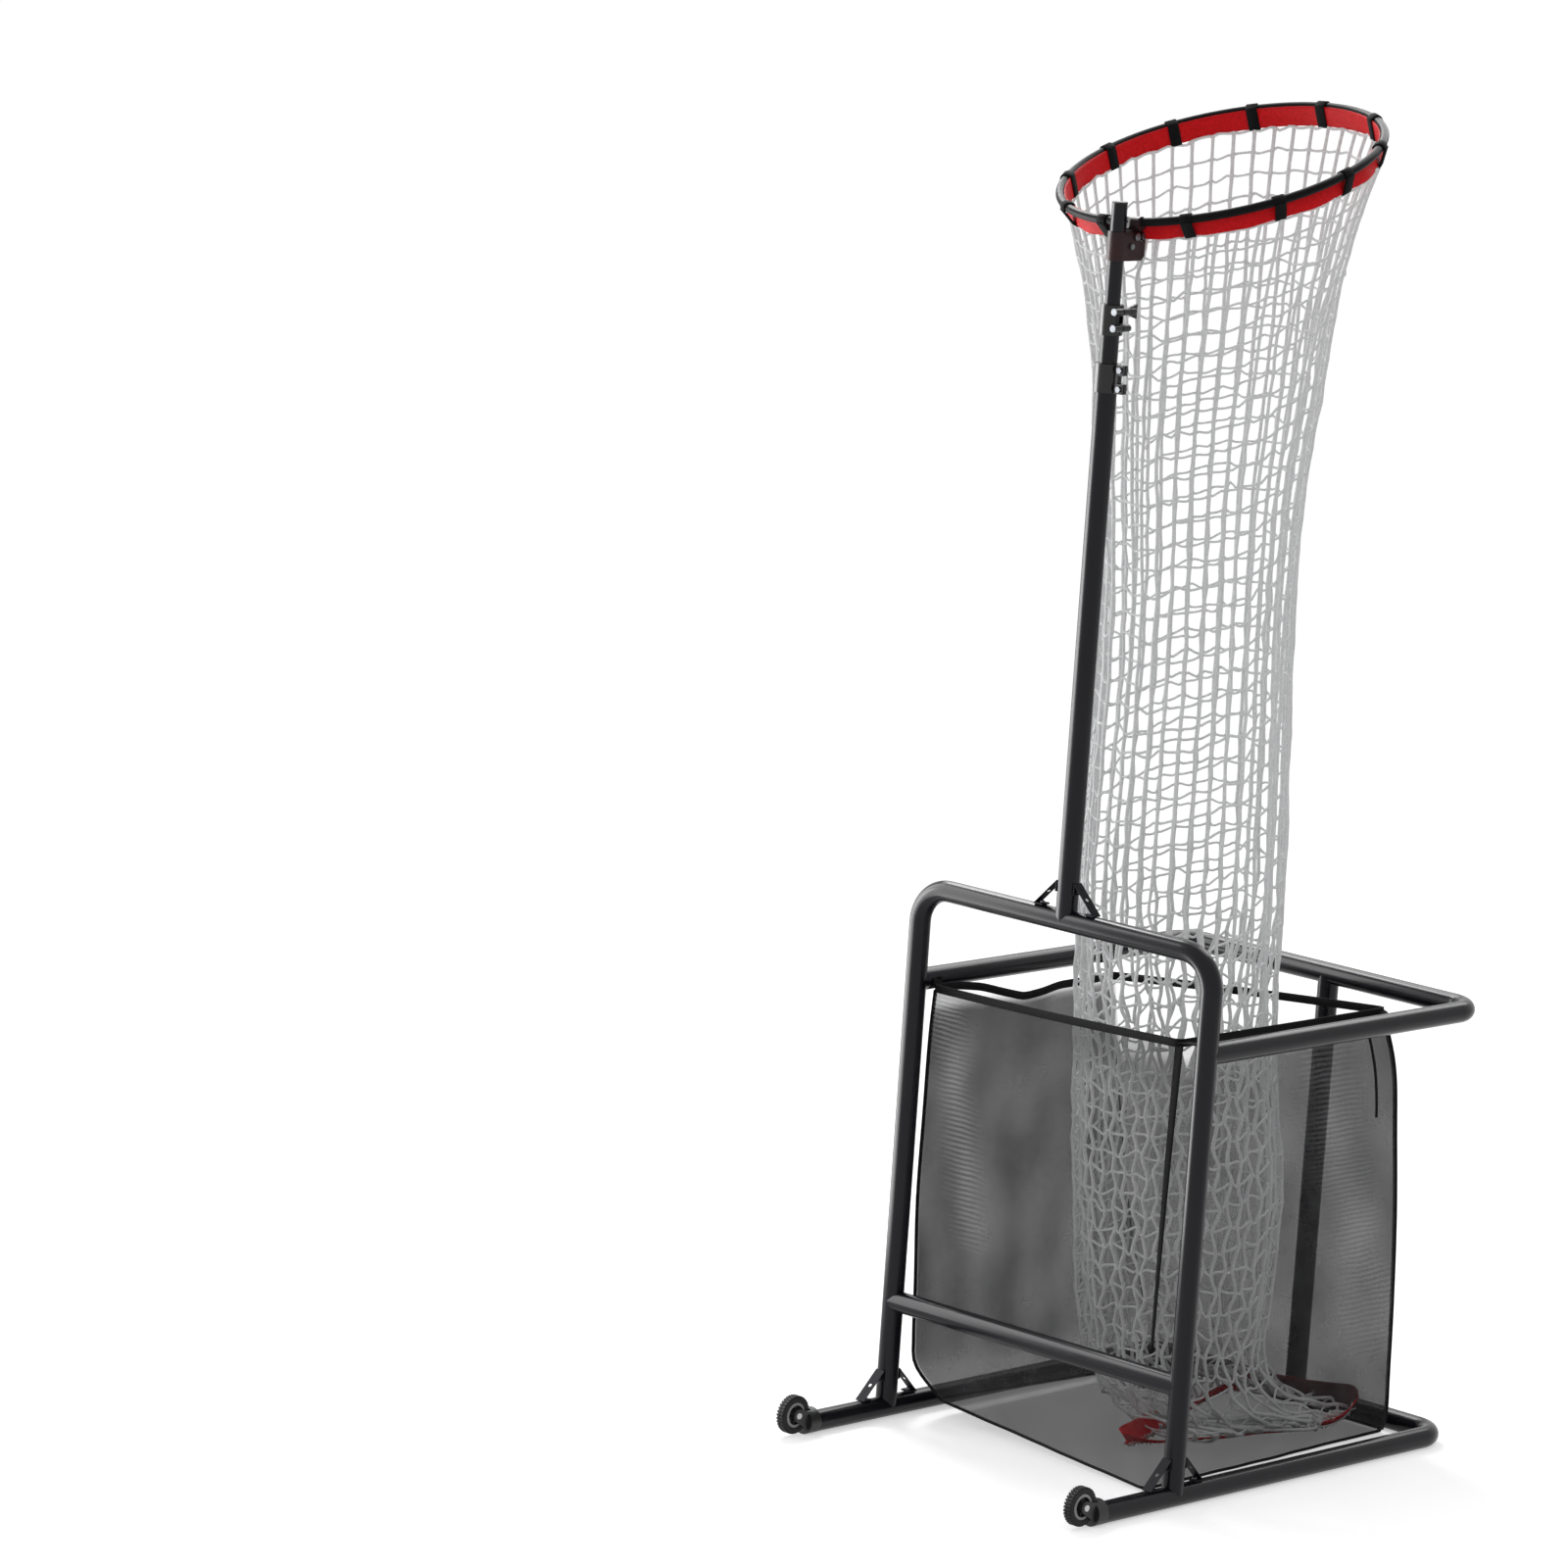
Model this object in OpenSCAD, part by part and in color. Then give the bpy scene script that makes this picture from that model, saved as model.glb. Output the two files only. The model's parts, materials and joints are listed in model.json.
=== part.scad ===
// Pitching target net: a tilted hoop on a telescoping mast, a long mesh chute, and a mesh
// catch bag hung inside a tubular stand with two transport wheels.
// +Z is up, -Y is the wheeled front. The origin is on the ground at the middle of the footprint.

/* [Frame tubes] */
// Outer diameter of every frame tube
tube_d = 38; // [34:0.5:42]
// Wall of every frame tube
tube_wall = 1.5; // [1.2:0.1:2]
// Distance between the centrelines of the two legs
leg_spacing = 675; // [620:5:740]
// Distance from the legs back to the rear bars
basket_depth = 730; // [700:5:800]
// Height of the basket rim's centreline
rim_height = 795; // [760:5:830]
// Height of the arch's centreline
arch_height = 964; // [950:2:1000]
// Height of the middle cross bar's centreline
mid_bar_height = 213; // [180:1:260]
// Centreline radius of the arch's two bends
arch_bend_r = 65; // [50:1:80]
// Centreline radius of the rear corners
corner_bend_r = 50; // [42:1:60]
// How far the two skids run forward of the legs
skid_front = 184; // [160:1:220]
// Straight length left on each bent end, up to its seam
bend_tail = 60; // [45:1:70]

/* [Joints between tubes] */
// Length of the sleeve inside each seam
ferrule_len = 80; // [60:2:90]
// Length of the stub that each branch tube slides over
spigot_len = 45; // [38:1:50]
// Wall of the sleeves and stubs
ferrule_wall = 3; // [2:0.5:4]
// Gap between a sleeve or stub and the tube around it
slip_gap = 0.05; // [0.02:0.01:0.1]
// Radius of the set screws
set_screw_r = 3; // [2:0.5:3.5]
// Length of the set screws
set_screw_len = 7; // [5:0.5:7]

/* [Gussets] */
// Reach of each gusset strap along both tubes
gusset_reach = 50; // [46:1:56]
// Width of the gusset straps
gusset_width = 20; // [16:1:24]
// Thickness of the gusset straps
gusset_thick = 3; // [2:0.5:3.5]
// Length of the folded feet
gusset_foot = 20; // [18:1:22]
// Radius of the hole in the middle of each strap
gusset_hole_r = 3.5; // [2:0.5:5]
// Radius of the gusset screws
gusset_screw_r = 2.5; // [2:0.25:3]
// Radius of the gusset screws' heads
gusset_head_r = 4.5; // [3.5:0.25:5]
// Height of the gusset screws' heads
gusset_head_h = 2.8; // [2:0.2:3.2]

/* [Mast] */
// Height of the lower mast tube's top end
lower_mast_top = 1925; // [1880:5:1940]
// Outer diameter of the middle mast tube
mid_mast_d = 32; // [31:0.25:32.5]
// Outer diameter of the top mast tube
top_mast_d = 27; // [26:0.25:27.5]
// Height of the middle mast tube's top end
mid_mast_top = 2028; // [2020:1:2032]
// Height of the top mast tube's top end
top_mast_top = 2205; // [2200:1:2230]
// Running gap between a mast tube and its bush
mast_gap = 0.05; // [0.02:0.01:0.09]
// Length of the guide bushes
bush_len = 40; // [30:1:44]
// Length of the foot bushes
foot_bush_len = 30; // [24:1:40]
// Thickness of the closed floor of a foot bush
foot_floor = 3; // [2:0.5:4]
// Thickness of the end cap's rim
cap_thick = 3; // [2:0.5:5]

/* [Mast clamps] */
// Height of the lower clamp collar
lower_clamp_h = 49; // [44:1:54]
// Thickness of the lower clamp collar's wall
lower_clamp_wall = 3.5; // [3:0.25:4.5]
// Reach of the lower clamp's ears beside the mast's axis
ear_reach = 40; // [38:1:46]
// Thickness of each ear of the lower clamp
ear_thick = 5.5; // [4:0.25:7]
// Slit between the lower clamp's ears
ear_slit = 2; // [1:0.25:3]
// Height of the upper clamp collar
upper_clamp_h = 52; // [48:1:56]
// Thickness of the upper clamp collar's wall
upper_clamp_wall = 4.5; // [3.5:0.25:5]
// Radius of the two split bosses on the upper clamp
boss_r = 6.5; // [6:0.25:7.5]
// Distance of the bosses beside the mast's axis
boss_x = 22.5; // [22:0.5:24]
// Half the length of the bosses
boss_half = 18; // [16:0.5:20]
// Height of the open window between the bosses
clamp_window = 12; // [8:1:14]
// Length of the wing knob
knob_len = 18; // [14:1:20]
// Span of the wing knob
knob_span = 26; // [22:1:28]
// Radius of the bolts on the mast and the bracket
bolt_r = 3; // [2.5:0.25:3.5]

/* [Hoop] */
// Centreline radius of the hoop
hoop_r = 284; // [264:1:300]
// Diameter of the hoop's tube
hoop_tube_d = 15; // [13:0.5:17]
// Wall of the hoop's tube
hoop_wall = 1; // [0.8:0.1:1.5]
// Slope of the hoop, its back edge raised
hoop_tilt = 19; // [10:0.5:25]
// Sideways lean of the hoop
hoop_lean = 3.4; // [0:0.1:4]
// Sideways shift of the hoop from the mast
hoop_shift = -32.5; // [-36:0.5:0]
// Distance from the mast's axis to the hoop's near centreline
hoop_back = 28; // [27:0.5:34]
// Height of the hoop's near centreline
hoop_near_z = 2170; // [2166:1:2180]
// Height of the fabric band below the hoop's centreline
band_drop = 33; // [28:1:38]
// Thickness of the fabric band
band_thick = 2; // [1:0.25:3]
// Clear gap left in the band for the tilt bracket
band_notch = 72; // [66:1:90]
// Number of hook-and-loop straps
strap_count = 12; // [8:1:14]
// Width of the straps
strap_width = 20; // [14:1:24]
// Thickness of the straps
strap_thick = 1.6; // [1:0.1:2.5]
// Turn of the strap pattern round the hoop
strap_phase = -2.5; // [-4:0.5:-1]

/* [Tilt bracket] */
// Distance of the tilt pivot behind the mast's axis
pivot_y = 30; // [29.5:0.5:31]
// Height of the tilt pivot
pivot_z = 2149; // [2147:0.5:2150]
// Distance of the lock bolt behind the pivot
lock_dy = 16; // [15:0.5:18]
// Height of the lock bolt above the pivot
lock_dz = 1; // [0:0.5:2]
// Thickness of the bracket's plates
bracket_thick = 4; // [3:0.25:5]
// Space between the bracket's plates
bracket_inside = 26; // [26:0.5:30]
// Height of the bracket's lower edge
bracket_bottom = 2108; // [2104:1:2112]
// Height of the bracket's upper edge
bracket_top = 2157; // [2155:0.5:2157]
// Radius of the pivot bolt
pivot_r = 4; // [3:0.25:5]
// Length of the collar that grips the hoop
hoop_collar_len = 54; // [44:1:58]
// Wall of the collar that grips the hoop
hoop_collar_wall = 4.5; // [3.5:0.25:5.5]
// How far the hoop tilts down from rest
tilt_down = 19; // [10:1:19]
// How far the hoop tilts up from rest
tilt_up = 10; // [5:1:10]

/* [Wheels] */
// Radius of the transport wheels
wheel_r = 34.5; // [30:0.5:35]
// Width of the transport wheels
wheel_w = 16; // [14:0.5:17]
// Radius of the wheels' hubs
hub_r = 23; // [20:0.5:25]
// Distance from the skid's end to the wheel's axle
wheel_ahead = 56; // [54:0.5:60]
// Height of the wheels' axles
wheel_z = 39.7; // [38:0.1:44]
// Radius of the axles
axle_r = 4; // [3:0.25:5]
// Diameter of the wheel housings
housing_d = 46; // [42:0.5:48]
// Thickness of the fork arms
fork_thick = 5.5; // [4:0.25:6]
// Width of the serrated lock rings
lock_ring_w = 6; // [4:0.5:8]
// Number of teeth on a lock ring
lock_ring_teeth = 22; // [16:1:26]

/* [Net] */
// Wall of the mesh chute's solids
net_wall = 3; // [2:0.5:4]
// Height where the tilting net meets the hanging net
net_seam_high = 1866; // [1800:5:1875]
// Height where the hanging net meets the standing net
net_seam_low = 1080; // [1040:5:1140]
// Net radius at the high seam
net_r_high = 197; // [185:1:205]
// Net radius at its narrowest
net_r_waist = 172; // [160:1:180]
// Net radius at the low seam
net_r_low = 182; // [170:1:186]
// Net radius above the bag's floor
net_r_foot = 186; // [170:1:190]
// Height where the net starts to spread over the floor
net_spread_z = 190; // [150:5:260]
// Radius of the hem ring on the bag's floor
cuff_r = 196; // [180:1:198]
// Height of the hem ring
cuff_h = 26; // [20:1:34]

/* [Catch bag] */
// Thickness of the bag's fabric solids
bag_wall = 2; // [1.5:0.25:3]
// Height of the bag's rim
bag_rim_z = 790; // [770:1:794]
// Height of the bag's floor above the ground
bag_floor_z = 2; // [1:0.5:6]
// Gap between the bag and the tubes in front of it
bag_front_gap = 5; // [3:0.5:10]
// Gap between the bag's left side and the left tubes
bag_left_gap = 13; // [8:1:16]
// Gap between the bag's right side and the right tubes at its rear rim
bag_right_gap = 18; // [12:1:22]
// How far the bag's right front corner stays clear of the right tubes
bag_front_right_gap = 56; // [45:1:60]
// Depth of the bag at its rim
bag_rim_depth = 500; // [498:1:540]
// Gap between the bag's floor and the rear base bar
bag_rear_gap = 12; // [8:1:20]
// Height of the rim binding
binding_h = 9; // [6:1:12]
// Width of the vertical bindings
binding_w = 10; // [8:1:14]
// Width of the tie straps
tie_width = 20; // [16:1:24]
// Thickness of the tie straps
tie_thick = 1.6; // [1:0.1:2]

/* [Hidden] */
$fn = 48;
eps = 0.01;
rest_gap = 0.3;

tube_r = tube_d / 2;
bore_r = tube_r - tube_wall;
slip_r = bore_r - slip_gap;
half_w = leg_spacing / 2;
seam_y = basket_depth - corner_bend_r - bend_tail;
arch_seam_z = arch_height - arch_bend_r - bend_tail / 2;
base_z = tube_r;

mid_mast_r = mid_mast_d / 2;
top_mast_r = top_mast_d / 2;
mid_bore_r = mid_mast_r - tube_wall;
top_bore_r = top_mast_r - tube_wall;
spigot_top = arch_height + tube_r + spigot_len;
mid_mast_foot = spigot_top + rest_gap + foot_floor;
top_mast_foot = mid_mast_foot + rest_gap + foot_floor;

lower_clamp_r = tube_r + lower_clamp_wall;
lower_clamp_lip = lower_clamp_h * 0.15;
lower_clamp_z = lower_mast_top + lower_clamp_lip - lower_clamp_h;
ear_screw_y = ear_reach - 6.5;
ear_notch_h = lower_clamp_h * 0.3;
ear_screw_dz = lower_clamp_h * 0.33;
ear_outer = ear_slit / 2 + ear_thick;

upper_clamp_r = mid_mast_r + upper_clamp_wall;
upper_clamp_lip = 5;
upper_clamp_z = mid_mast_top + upper_clamp_lip - upper_clamp_h;
knob_z = upper_clamp_z + upper_clamp_h * 0.8;
boss_bolt_z = upper_clamp_z + upper_clamp_h * 0.26;
boss_nut_h = 3;
knob_y = boss_half + rest_gap;

hoop_tube_r = hoop_tube_d / 2;
hoop_y = hoop_back + hoop_r * cos(hoop_tilt);
hoop_z = hoop_near_z + hoop_r * sin(hoop_tilt);
band_r = hoop_r - hoop_tube_r - rest_gap;
strap_clear = 0.2;
ear_y = pivot_y + lock_dy;
lock_r = sqrt(lock_dy * lock_dy + lock_dz * lock_dz);
lock_angle = atan2(lock_dz, lock_dy);
lug_half = bracket_inside / 2 - 0.4;
lug_pivot_r = 11;
lug_lock_r = 9;
bracket_outer = bracket_inside / 2 + bracket_thick;
bracket_bolt_y = top_mast_r + bolt_r + 1.5;
bolt_gap = 0.1;
nut_h = 4;

wheel_y = -(skid_front + wheel_ahead);
fork_inside = wheel_w + 3;
fork_outside = fork_inside / 2 + fork_thick;
housing_front = skid_front + lock_ring_w + 24;
housing_z = housing_d / 2;
tyre_gap = 0.05;
wheel_gap = 0.05;

cuff_x = 12;
cuff_y = 484;
cuff_z = bag_floor_z + bag_wall + rest_gap;

// Each strap's drift from even spacing, in degrees
strap_drift = [0.7, -2.7, 0.3, 2.6, 0.8, 0.4, -2.3, -3.9, 0.4, -3.8, -0.6, 1.9, 0, 0];

front_reach = -wheel_y + wheel_r;
rear_reach = basket_depth + tube_r;
portal_y = (front_reach - rear_reach) / 2;

// Corners of the bag seen from above: front left, front right, back right, back left
bag_top = [
    [-(half_w - tube_r - bag_left_gap), tube_r + bag_front_gap],
    [half_w - tube_r - bag_front_right_gap, tube_r + bag_front_gap],
    [half_w - tube_r - bag_right_gap, tube_r + bag_front_gap + bag_rim_depth],
    [-(half_w - tube_r - bag_left_gap), tube_r + bag_front_gap + bag_rim_depth - 20],
];
bag_bottom = [
    [-(half_w - tube_r - bag_left_gap - 8), tube_r + bag_front_gap + 30],
    [half_w - tube_r - bag_front_right_gap - 8, tube_r + bag_front_gap],
    [half_w - tube_r - bag_front_right_gap - 45, basket_depth - tube_r - bag_rear_gap],
    [-(half_w - tube_r - bag_left_gap - 18), basket_depth - tube_r - bag_rear_gap],
];

FRAME_COLOUR = "#3b3b40";
BLACK = "#1c1c1e";
STEEL = "#b8b8bc";
RED = "#e01c23";
NET_COLOUR = "#d3d3d3";
BAG_COLOUR = "#5c5c5c";

// ---- Helpers -------------------------------------------------------------------------------

// Places everything from the plane of the two legs
module at_portal() { translate([0, portal_y, 0]) children(); }

module rod_x(r, a, b) { translate([a, 0, 0]) rotate([0, 90, 0]) cylinder(r = r, h = b - a); }
module rod_y(r, a, b) { translate([0, b, 0]) rotate([90, 0, 0]) cylinder(r = r, h = b - a); }
module rod_z(r, a, b) { translate([0, 0, a]) cylinder(r = r, h = b - a); }

module pipe_x(r, wall, a, b) {
    difference() { rod_x(r, a, b); rod_x(r - wall, a - 1, b + 1); }
}
module pipe_y(r, wall, a, b) {
    difference() { rod_y(r, a, b); rod_y(r - wall, a - 1, b + 1); }
}
module pipe_z(r, wall, a, b) {
    difference() { rod_z(r, a, b); rod_z(r - wall, a - 1, b + 1); }
}

// A quarter bend of solid rod in the XY plane, from +X round to +Y
module quarter_bend(r, bend_r) {
    rotate_extrude(angle = 90) translate([bend_r, 0]) circle(r = r);
}

// A bar along X at Y = 0 with both ends bent towards -Y, as a solid rod of radius r
module u_rod(r, bend_r, tail) {
    straight = half_w - bend_r;
    rod_x(r, -straight, straight);
    for (side = [0, 1]) mirror([side, 0, 0]) {
        translate([straight, -bend_r, 0]) quarter_bend(r, bend_r);
        translate([half_w, 0, 0]) rod_y(r, -bend_r - tail, -bend_r);
    }
}

module u_pipe(bend_r, tail) {
    difference() { u_rod(tube_r, bend_r, tail); u_rod(bore_r, bend_r, tail + 1); }
}

// ---- Screws that hold the tubes together ---------------------------------------------------

// Each set screw: its place on the tube's centreline and the turn that points it outwards
DOWN = [180, 0, 0];
REAR = [-90, 0, 0];
set_screw_places = [
    for (side = [-1, 1]) each [
        [[side * half_w, seam_y - ferrule_len / 4, base_z], DOWN],
        [[side * half_w, seam_y - ferrule_len / 4, rim_height], DOWN],
        [[side * half_w, 0, arch_seam_z - ferrule_len / 4], REAR],
        [[side * half_w, tube_r + spigot_len * 0.6, rim_height], DOWN],
        [[side * (half_w - tube_r - spigot_len * 0.6), 0, mid_bar_height], DOWN],
    ],
    [[0, basket_depth, base_z + tube_r + spigot_len * 0.6], REAR],
    [[0, basket_depth, rim_height - tube_r - spigot_len * 0.6], REAR],
];

module set_screw_bodies(r, proud) {
    for (place = set_screw_places)
        translate(place[0]) rotate(place[1])
            rod_z(r, tube_r - set_screw_len - proud, tube_r - 0.2 + proud);
}

gusset_screw_s = gusset_reach - gusset_foot * 0.6;
// Each gusset: the corner where its two tubes meet and the turn about Z that it faces
gusset_places_mast = [for (turn = [0, 180]) [[0, 0, arch_height + tube_r], turn]];
gusset_places_foot = [
    for (side = [-1, 1]) for (turn = [90, -90]) [[side * half_w, 0, base_z + tube_r], turn]
];

// One gusset screw with its head on the foot at z = 0 and its shank pointing down
module gusset_screw(r, extra) {
    rod_z(r, -(tube_wall + 3 + extra), gusset_thick + eps);
    rod_z(gusset_head_r, gusset_thick, gusset_thick + gusset_head_h);
}

module gusset_screw_pair(r, extra) {
    translate([tube_r + gusset_screw_s, 0, 0]) gusset_screw(r, extra);
    translate([tube_r, 0, gusset_screw_s]) rotate([0, 90, 0]) gusset_screw(r, extra);
}

module gusset_screw_bodies(r, extra) {
    for (place = concat(gusset_places_mast, gusset_places_foot))
        translate(place[0]) rotate([0, 0, place[1]]) gusset_screw_pair(r, extra);
}

// Everything drilled through the frame tubes
module drillings() {
    set_screw_bodies(set_screw_r + slip_gap, 1);
    gusset_screw_bodies(gusset_screw_r + slip_gap, 1);
}

module drilled() { difference() { children(); drillings(); } }

// ---- Frame tubes ---------------------------------------------------------------------------

module skid(side) {
    color(FRAME_COLOUR) at_portal() drilled()
        translate([side * half_w, 0, base_z]) pipe_y(tube_r, tube_wall, -skid_front, seam_y);
}
module left_skid() { skid(-1); }
module right_skid() { skid(1); }

module rear_base_bar() {
    color(FRAME_COLOUR) at_portal() drilled()
        translate([0, basket_depth, base_z]) u_pipe(corner_bend_r, bend_tail);
}

module leg(side) {
    color(FRAME_COLOUR) at_portal() drilled() difference() {
        translate([side * half_w, 0, 0]) pipe_z(tube_r, tube_wall, base_z, arch_seam_z);
        translate([side * half_w, 0, base_z]) rod_y(tube_r, -2 * tube_r, 2 * tube_r);
    }
}
module left_leg() { leg(-1); }
module right_leg() { leg(1); }

module arch_top() {
    color(FRAME_COLOUR) at_portal() drilled()
        translate([0, 0, arch_height]) rotate([90, 0, 0]) u_pipe(arch_bend_r, bend_tail / 2);
}

module mid_bar() {
    color(FRAME_COLOUR) at_portal() drilled() difference() {
        translate([0, 0, mid_bar_height]) pipe_x(tube_r, tube_wall, -half_w, half_w);
        for (side = [-1, 1]) translate([side * half_w, 0, 0])
            rod_z(tube_r, mid_bar_height - 2 * tube_r, mid_bar_height + 2 * tube_r);
    }
}

module rim_rail(side) {
    color(FRAME_COLOUR) at_portal() drilled() translate([side * half_w, 0, 0]) difference() {
        translate([0, 0, rim_height]) pipe_y(tube_r, tube_wall, 0, seam_y);
        rod_z(tube_r, rim_height - 2 * tube_r, rim_height + 2 * tube_r);
    }
}
module left_rim_rail() { rim_rail(-1); }
module right_rim_rail() { rim_rail(1); }

module rear_rim_bar() {
    color(FRAME_COLOUR) at_portal() drilled()
        translate([0, basket_depth, rim_height]) u_pipe(corner_bend_r, bend_tail);
}

module rear_upright() {
    color(FRAME_COLOUR) at_portal() drilled() translate([0, basket_depth, 0]) difference() {
        pipe_z(tube_r, tube_wall, base_z, rim_height);
        for (z = [base_z, rim_height]) translate([0, 0, z]) rod_x(tube_r, -2 * tube_r, 2 * tube_r);
    }
}

// ---- Sleeves, stubs and screws -------------------------------------------------------------

module seam_ferrules() {
    color(STEEL) at_portal() drilled() for (side = [-1, 1]) {
        for (z = [base_z, rim_height]) translate([side * half_w, seam_y, z])
            pipe_y(slip_r, ferrule_wall, -ferrule_len / 2, ferrule_len / 2);
        translate([side * half_w, 0, arch_seam_z]) rod_ferrule();
    }
}

module rod_ferrule() {
    pipe_z(slip_r, ferrule_wall, -ferrule_len / 2, bend_tail / 2);
}

// A stub standing on a tube that runs along local X, pointing up
module spigot() {
    difference() {
        pipe_z(slip_r, ferrule_wall, 0, tube_r + spigot_len);
        rod_x(tube_r + 0.02, -2 * tube_r, 2 * tube_r);
    }
}

module branch_spigots() {
    color(STEEL) at_portal() drilled() {
        translate([0, 0, arch_height]) spigot();
        translate([0, basket_depth, base_z]) spigot();
        translate([0, basket_depth, rim_height]) rotate([180, 0, 0]) spigot();
        for (side = [-1, 1]) {
            translate([side * half_w, 0, base_z]) rotate([0, 0, 90]) spigot();
            translate([side * half_w, 0, rim_height]) rotate([-90, 0, 0]) rotate([0, 0, 90]) spigot();
            translate([side * half_w, 0, mid_bar_height])
                rotate([0, -90 * side, 0]) spigot();
        }
    }
}

module set_screws() {
    color(BLACK) at_portal() set_screw_bodies(set_screw_r, 0);
}

// ---- Gussets -------------------------------------------------------------------------------

// One folded strap in the XZ plane, with its corner at the origin
module gusset_strap() {
    g = gusset_reach;
    t = gusset_thick;
    f = gusset_reach - gusset_foot;
    translate([tube_r, 0, 0]) difference() {
        rotate([90, 0, 0]) linear_extrude(gusset_width, center = true) polygon([
            [f, 0], [g, 0], [g, t * 0.4], [t * 0.4, g], [0, g], [0, f],
            [t, f], [t, g - t * 1.1], [g - t * 1.1, t], [f, t],
        ]);
        translate([g / 2, 0, g / 2]) rotate([0, 45, 0]) rod_z(gusset_hole_r, -2 * t, 2 * t);
    }
}

module gusset_set(places) {
    color(FRAME_COLOUR) at_portal() difference() {
        for (place = places) translate(place[0]) rotate([0, 0, place[1]]) gusset_strap();
        gusset_screw_bodies(gusset_screw_r + slip_gap, 0);
    }
}
module mast_gussets() { gusset_set(gusset_places_mast); }
module foot_gussets() { gusset_set(gusset_places_foot); }

module gusset_screws() {
    color(STEEL) at_portal() gusset_screw_bodies(gusset_screw_r, 0);
}

// ---- Lower mast ----------------------------------------------------------------------------

module lower_mast() {
    color(FRAME_COLOUR) at_portal() drilled() difference() {
        pipe_z(tube_r, tube_wall, arch_height, lower_mast_top);
        translate([0, 0, arch_height]) rod_x(tube_r, -2 * tube_r, 2 * tube_r);
    }
}

module lower_guide_bush() {
    color(BLACK) at_portal()
        pipe_z(slip_r, slip_r - mid_mast_r - mast_gap, lower_mast_top - bush_len, lower_mast_top);
}

// The ears of both clamps point to +X; their parts are drawn along +Y
module turned() { rotate([0, 0, -90]) children(); }

// Places the two ear screws of the lower clamp
module at_ear_screws() {
    for (dz = [-ear_screw_dz, ear_screw_dz])
        translate([0, ear_screw_y, lower_clamp_z + lower_clamp_h / 2 + dz]) children();
}

module lower_clamp() {
    mid = lower_clamp_z + lower_clamp_h / 2;
    color(BLACK) at_portal() turned() difference() {
        union() {
            rod_z(lower_clamp_r, lower_clamp_z, lower_clamp_z + lower_clamp_h);
            translate([-ear_outer, tube_r, lower_clamp_z])
                cube([2 * ear_outer, ear_reach - tube_r, lower_clamp_h]);
        }
        rod_z(tube_r, lower_clamp_z - 1, lower_mast_top);
        rod_z(mid_mast_r + mast_gap, lower_mast_top - 1, lower_clamp_z + lower_clamp_h + 1);
        translate([-ear_slit / 2, mid_mast_r, lower_clamp_z - 1])
            cube([ear_slit, ear_reach, lower_clamp_h + 2]);
        translate([-ear_outer - 1, ear_reach - 12, mid - ear_notch_h / 2])
            cube([2 * ear_outer + 2, 20, ear_notch_h]);
        at_ear_screws() rod_x(bolt_r + bolt_gap, -ear_outer - 1, ear_outer + 1);
    }
}

module lower_clamp_screws() {
    color(STEEL) at_portal() turned() at_ear_screws() {
        rod_x(bolt_r, -ear_outer - nut_h, ear_outer + eps);
        rod_x(bolt_r * 1.7, ear_outer, ear_outer + 3.5);
        translate([-ear_outer - nut_h, 0, 0]) rotate([0, 90, 0])
            cylinder(r = bolt_r * 1.8, h = nut_h, $fn = 6);
    }
}

// ---- Middle mast ---------------------------------------------------------------------------

module mid_mast() {
    color(FRAME_COLOUR) at_portal() pipe_z(mid_mast_r, tube_wall, mid_mast_foot, mid_mast_top);
}

module mid_foot_bush() {
    color(BLACK) at_portal() {
        difference() {
            rod_z(slip_r, mid_mast_foot - foot_floor, mid_mast_foot + foot_bush_len);
            rod_z(mid_mast_r, mid_mast_foot, mid_mast_foot + foot_bush_len + 1);
        }
    }
}

module upper_guide_bush() {
    color(BLACK) at_portal()
        pipe_z(mid_bore_r - slip_gap, mid_bore_r - slip_gap - top_mast_r - mast_gap,
               mid_mast_top - bush_len, mid_mast_top);
}

// The axes of the upper clamp's two bosses, which run along Y beside the mast
module knob_axis() { translate([boss_x, 0, knob_z]) children(); }
module boss_bolt_axis() { translate([boss_x, 0, boss_bolt_z]) children(); }
module both_boss_axes() { knob_axis() children(); boss_bolt_axis() children(); }

module upper_clamp() {
    mid = (knob_z + boss_bolt_z) / 2;
    color(BLACK) at_portal() difference() {
        union() {
            rod_z(upper_clamp_r, upper_clamp_z, upper_clamp_z + upper_clamp_h);
            both_boss_axes() rod_y(boss_r, -boss_half, boss_half);
            for (z = [knob_z, boss_bolt_z]) translate([8, -boss_half + 3, z - boss_r])
                cube([boss_x - 8, 2 * boss_half - 6, 2 * boss_r]);
        }
        rod_z(mid_mast_r, upper_clamp_z - 1, mid_mast_top);
        rod_z(top_mast_r + mast_gap, mid_mast_top - 1, upper_clamp_z + upper_clamp_h + 1);
        translate([mid_mast_r * 0.5, -ear_slit / 2, upper_clamp_z - 1])
            cube([boss_x + boss_r, ear_slit, upper_clamp_h + 2]);
        translate([mid_mast_r * 0.5, -9, mid - clamp_window / 2])
            cube([boss_x, 18, clamp_window]);
        both_boss_axes() rod_y(bolt_r + bolt_gap, -boss_half - 1, boss_half + 1);
    }
}

module upper_clamp_bolts() {
    color(STEEL) at_portal() {
        both_boss_axes() {
            rod_y(bolt_r, -boss_half - eps, boss_half - 2);
            rod_y(boss_r - 0.5, -boss_half - boss_nut_h, -boss_half);
        }
        boss_bolt_axis() {
            rod_y(bolt_r, boss_half - 2 - eps, boss_half + eps);
            rod_y(boss_r - 0.5, boss_half, boss_half + boss_nut_h);
        }
        knob_axis() rod_y(bolt_r, boss_half - 2 - eps, knob_y + knob_len - 6);
    }
}

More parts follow.
